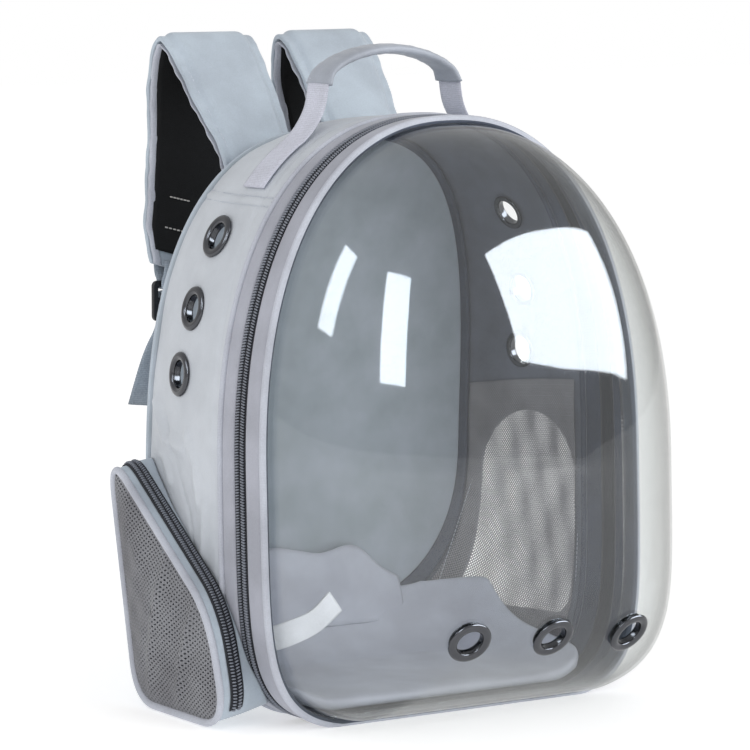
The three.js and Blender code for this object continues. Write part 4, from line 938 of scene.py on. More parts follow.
def close_poles(piece, grid):
    """Closes the two small openings at the middle of a cushion's faces with fans."""
    mesh = piece.data
    rows = grid.shape[0]
    count = grid.shape[1]
    points = np.vstack([coordinates(mesh), [grid[0].mean(axis=0) * 0.001, grid[-1].mean(axis=0) * 0.001]])
    faces = [list(p.vertices) for p in mesh.polygons]
    uv = np.zeros(len(mesh.loops) * 2, np.float32)
    mesh.uv_layers[0].data.foreach_get("uv", uv)
    kinds = np.zeros(len(mesh.polygons), np.int32)
    mesh.polygons.foreach_get("material_index", kinds)
    column = np.arange(count) * rows
    edges = {(f[i], f[(i + 1) % len(f)]) for f in faces for i in range(len(f))}
    for end, pole, kind in ((0, len(points) - 2, kinds[0]), (rows - 1, len(points) - 1, kinds[-1])):
        ring = column + end
        fan = [[ring[k], ring[(k + 1) % count], pole] for k in range(count)]
        if (fan[0][0], fan[0][1]) in edges:
            fan = [f[::-1] for f in fan]
        faces += fan
        kinds = np.concatenate([kinds, np.full(len(fan), kind, np.int32)])
        uv = np.concatenate([uv, np.zeros(len(fan) * 6, np.float32)])
    name, materials = piece.name, list(mesh.materials)
    bpy.data.objects.remove(piece)
    return make_mesh(name, points * 1000, faces, materials, uv.reshape(-1, 2), kinds)


panel = close_poles(panel, panel_grid)
sewn = coordinates(panel.data)
rim_share = np.hypot(sewn[:, 0] / 0.141, (sewn[:, 2] - 0.169) / 0.236)
depth_here = sewn[:, 1] * 1000 - (DEPTH - sweep_at(sewn[:, 2] * 1000))
puff(panel, (rim_share > 0.93) | (depth_here < 1.0), pressure=3.0, cap=5.0)
subdivide(panel)

SEAM_WIDTH, SEAM_HEIGHT = 6.5, 3.5
seam_inset = WALL + 3 * GAP
binding_backs, binding_insets = band_section(DEPTH - SEAM_WIDTH, DEPTH - GAP, seam_inset,
                                             seam_inset + SEAM_HEIGHT, 8)
binding = ring_piece("inner_seam_tape", binding_backs, binding_insets, [SEAM_TAPE])

# Net of the right wall, over the window and the lining round it.
NET_BOTTOM, NET_TOP = 22.0, 222.0


def net_angles(low, high, count):
    """Angles of the right side between two heights of the front outline."""
    fine = np.linspace(-np.pi / 2, np.pi / 2, 4001)
    return np.interp(np.linspace(low, high, count), body_point(fine, 0.0)[:, 2], fine)


net_rows = net_angles(NET_BOTTOM, NET_TOP, 90)
net_backs = np.linspace(WALL_FRONT + 5, DEPTH - 7, 56)
net_grid = body_point(net_rows[:, None], net_backs[None, :], seam_inset)
net_sag = 0.7 + ripple(net_backs[None, :], net_grid[..., 2], [(0.4, 35, 60, 0.2), (0.3, -22, 90, 1.2)])
net_grid = net_grid - grid_normals(net_grid) * np.sign(grid_normals(net_grid)[..., :1]) * net_sag[..., None]
window_net = surface("right_window_net_cloth", net_grid, [WINDOW_NET], outward=False)

# Floor mat: a thin cushion that follows the base up at its sides and back.
MAT_WIDTH, MAT_FRONT, MAT_BACK, MAT_THICKNESS = 268.0, 12.0, DEPTH - 2 * GAP, 9.0
MAT_SEAT = seam_inset + SEAM_HEIGHT
MAT_EDGE_HEIGHT = 60.0


def floor_height(x, y, inset):
    """Height of the body's base at a place of the floor, inset above its outer face."""
    share = np.clip(y / DEPTH, 0, 1)
    wide = body_value("wide", share) * HEIGHT
    floor = body_value("floor", share) * HEIGHT - BASE_SINK
    power = body_value("round_floor", share)
    across = body_value("width", share) * WIDTH / 2 - inset
    level = np.clip(np.abs(x) / across, 0, 0.98)
    return np.maximum(wide - (wide - floor - inset) * (1 - level**power) ** (1 / power), inset)


def mat_half_width(y):
    """Half width of the mat where the base rises to the mat's highest edge."""
    share = np.clip(y / DEPTH, 0, 1)
    wide = body_value("wide", share) * HEIGHT
    floor = body_value("floor", share) * HEIGHT - BASE_SINK
    rise = np.clip((wide - MAT_EDGE_HEIGHT) / (wide - floor - MAT_SEAT), 0, 1)
    power = body_value("round_floor", share)
    return (body_value("width", share) * WIDTH / 2 - MAT_SEAT) * (1 - rise**power) ** (1 / power)


def mat_grid(across, deep):
    """Two faces of the mat over a rounded rectangle: x and y are pulled to the outline, and
    the edge is pinched to a seam."""
    u, v = np.meshgrid(np.linspace(-1, 1, across), np.linspace(-1, 1, deep), indexing="ij")
    squash = (np.abs(u) ** 7 + np.abs(v) ** 7) ** (1 / 7) / np.maximum(np.maximum(np.abs(u), np.abs(v)), 1e-9)
    u, v = u / np.maximum(squash, 1), v / np.maximum(squash, 1)
    y = (MAT_FRONT + MAT_BACK) / 2 + v * (MAT_BACK - MAT_FRONT) / 2
    x = u * np.minimum(MAT_WIDTH / 2, mat_half_width(y))
    edge = np.maximum(np.abs(u), np.abs(v))
    base = floor_height(x, y, MAT_SEAT) + 3 * GAP
    plump = 1 - np.clip((edge - 0.9) / 0.1, 0, 1) ** 2 * 0.55
    low = np.stack([x, y, base + MAT_THICKNESS * (1 - plump) * 0.5], -1)
    wave = ripple(x, y, [(0.5, 130, 210, 0.3), (0.35, -80, 120, 2.0)])
    high = np.stack([x, y, base + MAT_THICKNESS * (0.5 + 0.5 * plump) + wave * plump], -1)
    return low, high


mat_low, mat_high = mat_grid(64, 44)
mat = strip("floor_mat_pad", shell(mat_high, mat_low), MAT_CLOTH)
mat_co = coordinates(mat.data) * 1000
mat_half = np.minimum(MAT_WIDTH / 2, mat_half_width(mat_co[:, 1]))
mat_edge = np.maximum(np.abs(mat_co[:, 0]) / mat_half,
                      np.abs(2 * mat_co[:, 1] - MAT_FRONT - MAT_BACK) / (MAT_BACK - MAT_FRONT))
# The sewn edge is held, and every other stretch of 64 points, so the mat fills unevenly.
stretches = np.arange(len(mat_co)) % 128 >= 64
puff(mat, (mat_edge > 0.9) | stretches, pressure=2.5, cap=3.0)
subdivide(mat)

# Rear edge of the mat's cover, turned up against the back.
FLAP_TOP = [(-104, 96), (-60, 98), (-37, 97), (-20, 94), (2, 90), (20, 94), (33, 93), (40, 90), (48, 83),
            (59, 74), (74, 66)]
FLAP_FOOT, FLAP_SETBACK = 36, 17


def mat_flap():
    """Loose cloth flap: rows rise from the mat's rear edge to an uneven top edge, leaning
    a little off the back panel."""
    top = np.array(FLAP_TOP, float)
    x = np.linspace(top[0, 0], top[-1, 0], 60)
    soft = smooth_path(np.column_stack([top, np.zeros(len(top))]), 120)
    height = np.interp(x, soft[:, 0], soft[:, 1])
    t = np.linspace(0, 1, 16)[:, None]
    z = FLAP_FOOT + t * (height - FLAP_FOOT)
    wave = 2.0 * ripple(x[None, :], z, [(1.0, 70, 200, 0.5), (0.5, 33, 90, 1.4)]) * (0.4 + 0.6 * t)
    y = DEPTH - FLAP_SETBACK + 10 * np.sqrt(t) - 3 * np.sin(np.pi * t) + wave
    return np.stack([np.broadcast_to(x[None, :], z.shape), y, z], -1)


flap = surface("mat_flap_cloth", mat_flap(), [MAT_CLOTH], outward=False)
wall_up(flap, 1.6)

# Tether ribbon, gathered where it is sewn to the left wall.
TETHER_COURSE = [(0, 0, -0.03, 0), (0.12, -0.03, -0.04, 0), (0.29, -0.09, -0.03, 2), (0.53, -0.18, 0.04, 10),
                 (0.785, -0.2, 0.13, 24), (1.05, -0.18, 0.31, 38)]


def tether():
    """Ribbon 16 mm wide whose width turns from upright as it comes in from the wall; folds
    across it at the root die out along it."""
    course = np.array(TETHER_COURSE, float)
    root, _ = wall_seat(52.0, TAPE_FRONT + 9, -1, WALL + 1.6)
    root[2] = 60.0
    points = root + course[:, [0, 1, 2]] * 68
    path = smooth_path(points, 40)
    turn = np.radians(np.interp(np.linspace(0, 1, 41), np.linspace(0, 1, 6), course[:, 3]))
    side, face = course_frame(path, np.stack([-np.sin(turn), np.zeros(41), np.cos(turn)], -1))
    a = np.linspace(-0.5, 0.5, 15)
    t = np.linspace(0, 1, 41)[:, None]
    fold = np.exp(-t / 0.16) * 1.9 * np.sin(a[None, :] * 22) + 0.5 * np.sin(t * 9 + a[None, :] * 3)
    width = 17.5 * (1 - 0.25 * np.exp(-t / 0.1))
    return path[:, None] + side[:, None] * (a[None, :] * width)[..., None] + face[:, None] * fold[..., None]


tether_piece = surface("tether_ribbon_cloth", tether(), [TETHER_CLOTH], outward=False)
wall_up(tether_piece, 1.1)

# Mesh pocket of the left wall.
POCKET = {"length": 172.0, "height": 178.0, "front": 20.0, "out": 184.0, "taper": 0.07, "rise": 0.2,
          "depth": 62.0, "bulge": 7.0, "wall": 1.6, "piping": 2.6}
POCKET_CORNERS = [(0, 0.012, 0.15), (0.155, 0.455, 0.5), (1, 1, 0.075), (0.767, 0.012, 0.2)]


def pocket_outline(count):
    """Outline of the pocket's face in distance back and height: straight sides joined by
    parabolas at its corners, cut into equal lengths, with its outward directions."""
    c = np.array([(POCKET["front"] + a * POCKET["length"], u * POCKET["height"], r * POCKET["height"])
                  for a, u, r in POCKET_CORNERS])
    line = []
    for k in range(4):
        here = c[k, :2]
        before, after = c[k - 1, :2] - here, c[(k + 1) % 4, :2] - here
        lb, la = np.linalg.norm(before), np.linalg.norm(after)
        spread = math.acos((before / lb) @ (after / la))
        reach = min(c[k, 2] / math.tan(spread / 2), lb / 2, la / 2)
        t = np.linspace(0, 1, 25)[:, None]
        line.append(here + before / lb * reach * (1 - t) ** 2 + after / la * reach * t**2)
    line = np.vstack([*line, line[0][:1]])
    run = np.concatenate([[0], np.cumsum(np.linalg.norm(np.diff(line, axis=0), axis=1))])
    keep = np.concatenate([[True], np.diff(run) > 1e-9])
    at = np.linspace(0, run[-1], count, endpoint=False)
    points = np.stack([np.interp(at, run[keep], line[keep, k]) for k in (0, 1)], -1)
    d = unit(np.roll(points, -1, 0) - np.roll(points, 1, 0))
    out = np.stack([d[:, 1], -d[:, 0]], -1)
    middle = points.mean(axis=0)
    out *= np.sign(((points - middle) * out).sum())
    return points, out


pocket_line, pocket_out = pocket_outline(260)
POCKET_MIDDLE = pocket_line.mean(axis=0)


def pocket_face(y):
    """How far across the pocket's face stands at a distance back."""
    return -POCKET["out"] + POCKET["taper"] * (y - POCKET["front"])


def pocket_point(off, inward):
    """Ring of points beside the pocket's outline: off outside it and inward from its face."""
    off, inward = (np.broadcast_to(np.asarray(v, float), (len(pocket_line),)) for v in (off, inward))
    y = pocket_line[:, 0] + pocket_out[:, 0] * off
    z = np.maximum(pocket_line[:, 1] + pocket_out[:, 1] * off + POCKET["rise"] * inward, 0)
    return np.stack([pocket_face(pocket_line[:, 0]) + inward, y, z], -1)


def pocket_reach():
    """How far in the band goes at each place of the outline before it meets the body."""
    inward = np.full(len(pocket_line), POCKET["depth"])
    tries = np.linspace(4, POCKET["depth"], 400)
    gaps = []
    for t in tries:
        p = pocket_point(0.0, t)
        gaps.append(-p[:, 0] - body_half_width(np.minimum(p[:, 1], DEPTH), p[:, 2]))
    gaps = np.array(gaps)
    hit = gaps < 1.2
    first = np.where(hit.any(axis=0), tries[np.argmax(hit, axis=0)], inward)
    return np.minimum(first, POCKET["depth"])


reach = pocket_reach()
edge = POCKET["piping"] * 0.6
share = np.linspace(0, 1, 22)
band_outer, band_inner = [], []
for s in share:
    inward = edge + s * (reach - edge)
    puffed = 0.8 * np.sin(np.pi * s) + 0.25 * np.sin(np.arange(len(reach)) * 0.35) * s
    band_outer.append(pocket_point(puffed, inward))
    band_inner.append(pocket_point(puffed - POCKET["wall"], inward))
band_grid = shell(np.array(band_outer).transpose(1, 0, 2), np.array(band_inner).transpose(1, 0, 2))
pocket_band = surface("pocket_band_cloth", band_grid, [STRAP_CLOTH], closed=(True, True))

t = (np.arange(12) + 0.5) * 2 * np.pi / 12
cord = [pocket_point(-POCKET["wall"] / 2 + POCKET["piping"] * np.sin(a), POCKET["piping"] * np.cos(a))
        for a in t]
pocket_cord = surface("pocket_piping_cord", np.array(cord).transpose(1, 0, 2), [PIPING_CLOTH],
                      closed=(True, True))


def pocket_net():
    """Net face: the outline drawn to its middle, bulged outwards, with two soft folds and
    dents. Its uv map is its place in the face, so the knit runs straight."""
    inset = POCKET["piping"] * 0.7 + POCKET["wall"] / 2
    edge_line = pocket_line - pocket_out * inset
    shares = np.concatenate([[0.02], np.linspace(0.08, 1, 44)])[:, None, None]
    flat = POCKET_MIDDLE + shares * (edge_line - POCKET_MIDDLE)[None]
    y, z = flat[..., 0], flat[..., 1]
    s = shares[..., 0]
    lift = POCKET["bulge"] * (1 - s**2)
    lift = lift + 3.4 * ridge_at(y, z, [(62, 96), (70, 60), (86, 12)], 4) * (1 - s**4)
    lift = lift + 3.0 * ridge_at(y, z, [(100, 120), (112, 70), (128, 14)], 5) * (1 - s**4)
    lift = lift - 2.5 * bump_at(y, z, (82, 60), (14, 30), 12) * (1 - s**4)
    lift = lift + ripple(y, z, [(0.5, 30, 70, 0.1), (0.4, -44, 26, 2.2)]) * (1 - s**6)
    grid = np.stack([pocket_face(y) - lift, y, z], -1)
    return grid, flat


net_grid_pocket, net_uv = pocket_net()
pocket_net_piece = surface("pocket_net_cloth", net_grid_pocket, [POCKET_NET], closed=(False, True),
                           uv=net_uv, outward=False)
wall_up(pocket_net_piece, 0.7)

# Zip of the pocket, along its slope, and the tape it is sewn on.
slope_start = int(np.argmin(np.hypot(pocket_line[:, 0] - 24, pocket_line[:, 1] - 8)))
order = np.roll(np.arange(len(pocket_line)), -slope_start)
if pocket_line[order[10], 1] < pocket_line[order[0], 1]:
    order = order[::-1]
high_point = int(np.argmax(pocket_line[order, 1]))
slope = order[: high_point + 14]
zip_middle = np.array([pocket_point(2.0, 12.5)[k] for k in slope])
zip_ahead = np.array([pocket_point(2.0, 13.5)[k] for k in slope])
zip_outward = np.stack([np.zeros(len(slope)), pocket_out[slope, 0], pocket_out[slope, 1]], -1)
zip_across = unit(zip_ahead - zip_middle)
zip_path = smooth_path(zip_middle, 116)
run_old = np.linspace(0, 1, len(slope))
run_new = np.linspace(0, 1, 117)
zip_out_fine = unit(np.stack([np.interp(run_new, run_old, zip_outward[:, k]) for k in range(3)], -1))
zip_across_fine = unit(np.stack([np.interp(run_new, run_old, zip_across[:, k]) for k in range(3)], -1))
pocket_teeth = zip_teeth("pocket_zip_teeth", zip_path, zip_out_fine, zip_across_fine, 8.2, 2.1, 2.0)
tape_a = np.linspace(-5.4, 5.4, 9)
tape_top = zip_path[:, None] + zip_across_fine[:, None] * tape_a[None, :, None] - zip_out_fine[:, None] * 0.35
tape_low = tape_top - zip_out_fine[:, None] * 0.6
# The near-black tape showing beside the teeth is partly painted shade of the grooves there.
pocket_tape = strip("pocket_zip_tape", shell(tape_top, tape_low), COIL_TAPE)

# Shoulder straps.
STRAP = {"width": 78.0, "thickness": 9.0, "root": 368.0, "rise": 99.0, "reach": 88.0, "spread": 50.0}
# Course of a strap: back and up as shares of its reach and rise, its width and how far out
# it stands as shares of its own width and spread.
STRAP_COURSE = np.array([
    (0, 0, 0.76, 1), (0.1, 0.24, 0.82, 1), (0.25, 0.43, 0.88, 1.01), (0.44, 0.66, 0.95, 1.03),
    (0.62, 0.87, 0.99, 1.04), (0.75, 0.995, 1, 1.05), (0.84, 1.035, 1, 1.05), (0.92, 1, 1, 1.06),
    (0.97, 0.88, 1, 1.08), (1, 0.7, 0.98, 1.1), (0.95, 0.38, 0.96, 1.18), (0.91, -0.05, 0.92, 1.3),
    (0.88, -0.42, 0.8, 1.48), (0.86, -0.68, 0.48, 1.62),
])
pad_low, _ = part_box("left_strap_pad")
STRAP_BACK = pad_low[1] * 1000 + STRAP["thickness"] / 2


def strap_course():
    """Course of the left strap's middle, from its root over the top to its end."""
    return np.stack([-STRAP_COURSE[:, 3] * STRAP["spread"], STRAP_BACK + STRAP_COURSE[:, 0] * STRAP["reach"],
                     STRAP["root"] + STRAP_COURSE[:, 1] * STRAP["rise"]], -1)


def strap_stations(count):
    """Course of the left strap in count steps, with its width, side and face directions."""
    path = smooth_path(strap_course(), count)
    run = np.concatenate([[0], np.cumsum(np.linalg.norm(np.diff(strap_course(), axis=0), axis=1))])
    width = np.interp(np.linspace(0, run[-1], count + 1), run, STRAP_COURSE[:, 2]) * STRAP["width"]
    side, face = course_frame(path, [1.0, 0.0, 0.0])
    return path, width, side, face


def strap_pad():
    """Padded strap: bound edges 7 mm wide and thin, a stitched groove, and a full middle on
    its outer face; the lining's side is flat. The bound edges wave a little."""
    count = 110
    path, width, side, face = strap_stations(count)
    a = np.concatenate([[-0.5, -0.492], np.linspace(-0.475, 0.475, 31), [0.492, 0.5]])
    along_strap = np.arange(count + 1)[:, None] * 3.0
    distance = (0.5 - np.abs(a))[None, :] * width[:, None]
    bound = np.clip((distance - 6.0) / 5.0, 0, 1)
    half = 1.9 + (STRAP["thickness"] / 2 - 1.5) * np.sin(bound * np.pi / 2)
    half = half - 0.9 * np.exp(-(((distance - 6.5) / 1.1) ** 2))
    half = np.where(np.abs(a)[None, :] > 0.495, 0.5, half)
    pucker = ripple(along_strap, distance, [(0.35, 17, 300, 0.3), (0.25, 9.5, -200, 1.7)]) \
        * np.exp(-distance / 9.0)
    outer_off = -(half + np.where(np.abs(a)[None, :] > 0.495, 0, pucker))
    inner_off = np.minimum(half, 4.2)
    waver = ripple(along_strap, 0 * along_strap, [(0.9, 62, 1e9, 0.8), (0.6, 27, 1e9, 2.0)])
    reach = a[None, :] * (width[:, None] + waver)
    outer = path[:, None] + side[:, None] * reach[..., None] + face[:, None] * outer_off[..., None]
    inner = path[:, None] + side[:, None] * reach[..., None] + face[:, None] * inner_off[..., None]
    grid = shell(outer, inner)
    pinned = np.zeros(grid.shape[:2], bool)
    pinned[:, len(a):] = True
    pinned[:, : len(a)] = distance < 9.0
    pinned[[0, 1, -2, -1]] = True
    return grid, pinned


def strap_edges():
    """Bound edge strips on the lining's side: narrow folded tape along both edges."""
    count = 200
    path, width, side, face = strap_stations(count)
    strips = []
    for sign in (-1, 1):
        s = np.arange(count + 1) * 1.65
        wave = 0.5 * np.sin(s / 5.2) + 0.4 * np.sin(s / 2.3 + 1.0)
        out = sign * (width / 2 - 3.4 + 0.8 * wave)
        middle = path + side * out[:, None] + face * (4.6 + 0.22 * wave)[:, None]
        a = np.linspace(-0.5, 0.5, 7)
        crown = 1.3 * np.sqrt(np.clip(1 - (2 * a) ** 2, 0, 1)) + 0.15
        flat = middle[:, None] + side[:, None] * (a * 7.0)[None, :, None]
        top = flat + face[:, None] * crown[None, :, None]
        low = flat - face[:, None] * 0.5
        strips.append(shell(top, low))
    return strips


pad_grid, pad_pinned = strap_pad()
strap_seams = []
path, width, side, face = strap_stations(160)
for sign in (-1, 1):
    strap_seams.append((path + side * (sign * (width / 2 - 6.4))[:, None] - face * 1.7)[3:-3])
lining_path, lining_width, lining_side, lining_face = strap_stations(120)
# Heights of the two short stitched bars on the lining.
LINING_BARS = (351.0, 327.0)

for name, turn in (("left", lambda g: g), ("right", mirror)):
    pad = strip(f"{name}_strap_pad_cloth", turn(pad_grid), STRAP_CLOTH)
    puff(pad, pad_pinned.ravel(), pressure=3.5, cap=2.2)
    subdivide(pad)
    strips = strap_edges()
    binds = [strip(f"{name}_strap_binding_{k + 1}", turn(s), PIPING_CLOTH) for k, s in enumerate(strips)]
    a = np.linspace(-0.5, 0.5, 15)
    rows = slice(8, 117)
    reach = a[None, :, None] * lining_width[rows, None, None] * 0.88
    base = lining_path[rows, None] + lining_side[rows, None] * reach
    wrinkle = ripple(np.arange(121)[rows][:, None] * 2.9, a[None, :] * 60,
                     [(0.35, 48, 90, 0.0), (0.2, -30, 55, 1.0)])
    low = base + lining_face[rows, None] * 4.9
    high = base + lining_face[rows, None] * (6.3 + wrinkle)[..., None]
    lining = strip(f"{name}_strap_lining_cloth", turn(shell(high, low)), BLACK_KNIT)
    seam = stitches(f"{name}_strap_stitches", [turn(p) for p in strap_seams], THREAD)
    bars = []
    for height in LINING_BARS:
        k = 60 + int(np.argmin(np.abs(lining_path[60:, 2] - height)))
        middle = lining_path[k] + lining_face[k] * 6.9 - lining_side[k] * 8
        bars.append(turn(np.array([middle - lining_side[k] * 9, middle + lining_side[k] * 9])))
    tacks = stitches(f"{name}_strap_bar_tacks", bars, PALE_THREAD, pitch=3.0, thickness=1.1)
    for piece, node, slot in ((pad, "strap_pad", "strap"), (lining, "strap_lining", "black")):
        belongs(piece, f"{name}_{node}")
    for piece in (*binds, seam, tacks):
        belongs(piece)

# Buckles, their tabs and the webbing, on the courses of the solids.
BUCKLE = {"width": 34.0, "height": 30.0, "thickness": 3.6, "bar": 4.4, "drop": 8.0}
WEB_WIDTH, WEB_THICKNESS = 22.0, 1.6


def rounded_box(width, height, radius, reverse=False):
    """Closed outline of a rectangle with round corners, as flat points."""
    t = np.linspace(0, np.pi / 2, 7)
    centres = [(1, 1, 0), (-1, 1, 1), (-1, -1, 2), (1, -1, 3)]
    points = [(sx * (width / 2 - radius) + radius * math.cos(a + q * math.pi / 2),
               sy * (height / 2 - radius) + radius * math.sin(a + q * math.pi / 2))
              for sx, sy, q in centres for a in t]
    return points[::-1] if reverse else points


def plate(name, outlines, thickness, bevel, material):
    """Flat plate with holes: a filled curve given thickness and rounded edges, as a mesh."""
    curve = bpy.data.curves.new(name, "CURVE")
    curve.dimensions, curve.fill_mode = "2D", "BOTH"
    curve.extrude = (thickness / 2 - bevel) * 0.001
    curve.bevel_depth, curve.bevel_resolution = bevel * 0.001, 2
    curve.offset = -bevel * 0.001
    for outline in outlines:
        spline = curve.splines.new("POLY")
        spline.points.add(len(outline) - 1)
        flat = [(x * 0.001, y * 0.001, 0, 1) for x, y in outline]
        spline.points.foreach_set("co", np.array(flat, np.float32).ravel())
        spline.use_cyclic_u = True
    holder = bpy.data.objects.new(name + "_curve", curve)
    scene.collection.objects.link(holder)
    graph = bpy.context.evaluated_depsgraph_get()
    mesh = bpy.data.meshes.new_from_object(holder.evaluated_get(graph))
    bpy.data.objects.remove(holder)
    mesh.name = name
    mesh.materials.clear()
    mesh.materials.append(material)
    piece = bpy.data.objects.new(name, mesh)
    scene.collection.objects.link(piece)
    return piece


def web_course(name, node, turn, path, width, thickness, material):
    """Webbing along a path with its width across X, standing for a solid."""
    grid = strip_grid(path, [1.0, 0.0, 0.0], width, thickness)
    piece = strip(name, turn(grid), material)
    belongs(piece, node)


strap_end = strap_course()[-1]
buckle_middle = strap_end - np.array([0, 0, BUCKLE["height"] / 2 + BUCKLE["drop"]])
wrap = BUCKLE["thickness"] / 2 + 2 * GAP + WEB_THICKNESS / 2
under = BUCKLE["bar"] / 2 + 2 * GAP + WEB_THICKNESS / 2
bend = WEB_THICKNESS / 2
slot_height = (BUCKLE["height"] - 3 * BUCKLE["bar"]) / 2
slot_up = BUCKLE["bar"] / 2 + slot_height / 2
below = BUCKLE["height"] / 2 + BUCKLE["bar"]
web_low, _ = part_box("left_webbing")
foot = np.array([-102.0, web_low[1] * 1000 + WEB_THICKNESS / 2, 90.0])
way = buckle_middle - foot
web_points = [
    foot, foot + np.array([0, 0.6, 22.0]), foot + way * np.array([0.07, 0.15, 0.28]),
    foot + way * np.array([0.55, 0.6, 0.6]),
    *[buckle_middle + np.array([0, y, z]) for y, z in (
        (-wrap - bend, -below), (-wrap, -BUCKLE["bar"] / 2), (-wrap, slot_up - bend / 2),
        (bend - wrap, slot_up + bend / 2), (wrap - bend, slot_up + bend / 2), (wrap, slot_up - bend / 2),
        (wrap, -BUCKLE["bar"] / 2), (wrap + bend / 2, -below))],
    buckle_middle + np.array([-6.0, wrap + 11.0, -40.0]),
    buckle_middle + np.array([-11.0, wrap + 24.0, -80.0]),
]
web_path = cut_corners(web_points, 3)
bar_up = BUCKLE["height"] / 2 - BUCKLE["bar"] / 2
tab_points = [
    strap_end + np.array([0.5, -7.2, 6.5]), strap_end + np.array([0.2, -6.2, -3.5]),
    *[buckle_middle + np.array([0, y, bar_up + z]) for y, z in (
        (-wrap, BUCKLE["bar"] / 2 + bend), (-wrap, bend - under), (bend - wrap, -under),
        (wrap - bend, -under), (wrap, bend - under), (wrap, BUCKLE["bar"] / 2 + bend))],
    strap_end + np.array([-0.2, 6.2, -3.5]), strap_end + np.array([-0.5, 6.9, 7.5]),
]
for name, turn in (("left", lambda g: g), ("right", mirror)):
    web_course(f"{name}_webbing_cloth", f"{name}_webbing", turn, web_path, WEB_WIDTH, WEB_THICKNESS,
               STRAP_WEBBING)
    web_course(f"{name}_buckle_tab_cloth", f"{name}_buckle_tab", turn, cut_corners(tab_points, 2), WEB_WIDTH,
               WEB_THICKNESS, STRAP_WEBBING)
    inside = (BUCKLE["width"] - 2 * BUCKLE["bar"], slot_height)
    lower = [(x, y - BUCKLE["bar"] / 2 - slot_height / 2) for x, y in rounded_box(*inside, 1.2, True)]
    upper = [(x, y + BUCKLE["bar"] / 2 + slot_height / 2) for x, y in rounded_box(*inside, 1.2, True)]
    frame_line = rounded_box(BUCKLE["width"], BUCKLE["height"], 4.0)
    buckle = plate(f"{name}_buckle_moulding", [frame_line, lower, upper], BUCKLE["thickness"], 0.8, ACETAL)
    co = coordinates(buckle.data)
    place = turn(buckle_middle)
    upright = np.stack([co[:, 0], -co[:, 2], co[:, 1]], -1) + place * 0.001
    buckle.data.vertices.foreach_set("co", upright.astype(np.float32).ravel())
    buckle.data.update()
    belongs(buckle, f"{name}_buckle")

# Handle: two webbing legs sewn on the wall and a wrapped grip.
HANDLE_DEPTH, HANDLE_FOOT, HANDLE_SPAN, HANDLE_RISE = 92.0, 370.0, 66.0, 46.0
grip_end = HEIGHT + HANDLE_RISE - 24


def leg_path():
    """Course of the left leg: up the wall from its foot, off it near the top and up to the
    grip's end."""
    fine = np.linspace(0, np.pi / 2, 2001)
    outline = body_point(fine, HANDLE_DEPTH)
    top_z = np.interp(-HANDLE_SPAN, -outline[:, 0], outline[:, 2])
    seated = []
    for h in np.linspace(HANDLE_FOOT, top_z - 6, 16):
        place, out = wall_seat(h, HANDLE_DEPTH, -1)
        out[1] = 0
        seated.append(np.array([place[0], HANDLE_DEPTH, place[2]]) + unit(out) * 1.9)
    last = seated[-1]
    free = [last + np.array([9, 0, 9]),
            np.array([-HANDLE_SPAN + 5, HANDLE_DEPTH, (last[2] + grip_end) / 2 + 3]),
            np.array([-HANDLE_SPAN + 9, HANDLE_DEPTH, grip_end + 4])]
    return smooth_path(np.array(seated + free), 60)


def grip_grid():
    """Grip: an oval cross-section carried along an arch, wider and flatter at its ends,
    with the wrapped cloth's edge as a low step and soft folds across it."""
    span = HANDLE_SPAN - 9
    rise = HEIGHT + HANDLE_RISE - grip_end
    half = [(1, 0), (0.93, 0.34), (0.72, 0.66), (0.36, 0.92)]
    rows = [(-a, u) for a, u in half] + [(0, 1)] + half[::-1]
    points = [(a * span, HANDLE_DEPTH, grip_end + u * rise) for a, u in rows]
    path = smooth_path(points, 80)
    side, face = course_frame(path, [0.0, 1.0, 0.0])
    t = np.linspace(0, 2 * np.pi, 36, endpoint=False)[None, :]
    s = np.linspace(-1, 1, 81)[:, None]
    width = 30 - 5 * (1 - s**6) + 2.0 * np.abs(s) ** 8
    thick = 7.2 - 2.4 * np.abs(s) ** 6
    fold = 0.35 * np.sin(s * 31 + 2 * np.cos(t)) * (1 - s**4) + 0.25 * np.sin(s * 57 + t * 2)
    power = 0.75
    a = np.sign(np.cos(t)) * np.abs(np.cos(t)) ** power * width / 2
    b = np.sign(np.sin(t)) * np.abs(np.sin(t)) ** power * (thick / 2 + fold * 0.4)
    return path[:, None] + side[:, None] * a[..., None] + face[:, None] * b[..., None]


leg = leg_path()
for name, turn in (("left", lambda g: g), ("right", mirror)):
    grid = strip_grid(leg, [0.0, 1.0, 0.0], 26.0, 1.8)
    piece = strip(f"{name}_handle_leg_webbing", turn(grid), WEBBING)
    belongs(piece, f"{name}_handle_leg")
grip = surface("handle_grip_cloth", grip_grid(), [GRIP_CLOTH], closed=(False, True), caps="point")

# Seams: the top panel's double seam on both sides of the wall, and the stitching round the right wall's
# window.


def wall_line(heights, backs, side, lift):
    """Broken line on the wall through heights and distances back."""
    rows = []
    for h, b in zip(heights, backs):
        place, out = wall_seat(h, b, side)
        rows.append(place + out * lift)
    return np.array(rows)


backs = np.linspace(WALL_FRONT + 2, DEPTH - 2, 26)
seam_paths = [wall_line(np.full(26, SEAM_Z - drop), backs, side, 0.35)
              for side in (-1, 1) for drop in (0.0, 6.0)]
seam_thread = stitches("top_panel_stitches", seam_paths, THREAD, thickness=0.6)
outline = arch_outline(6.0)
window_thread = stitches("window_stitches", [wall_line(outline[:, 1], outline[:, 0], 1, 0.4)], THREAD,
                         thickness=0.6)

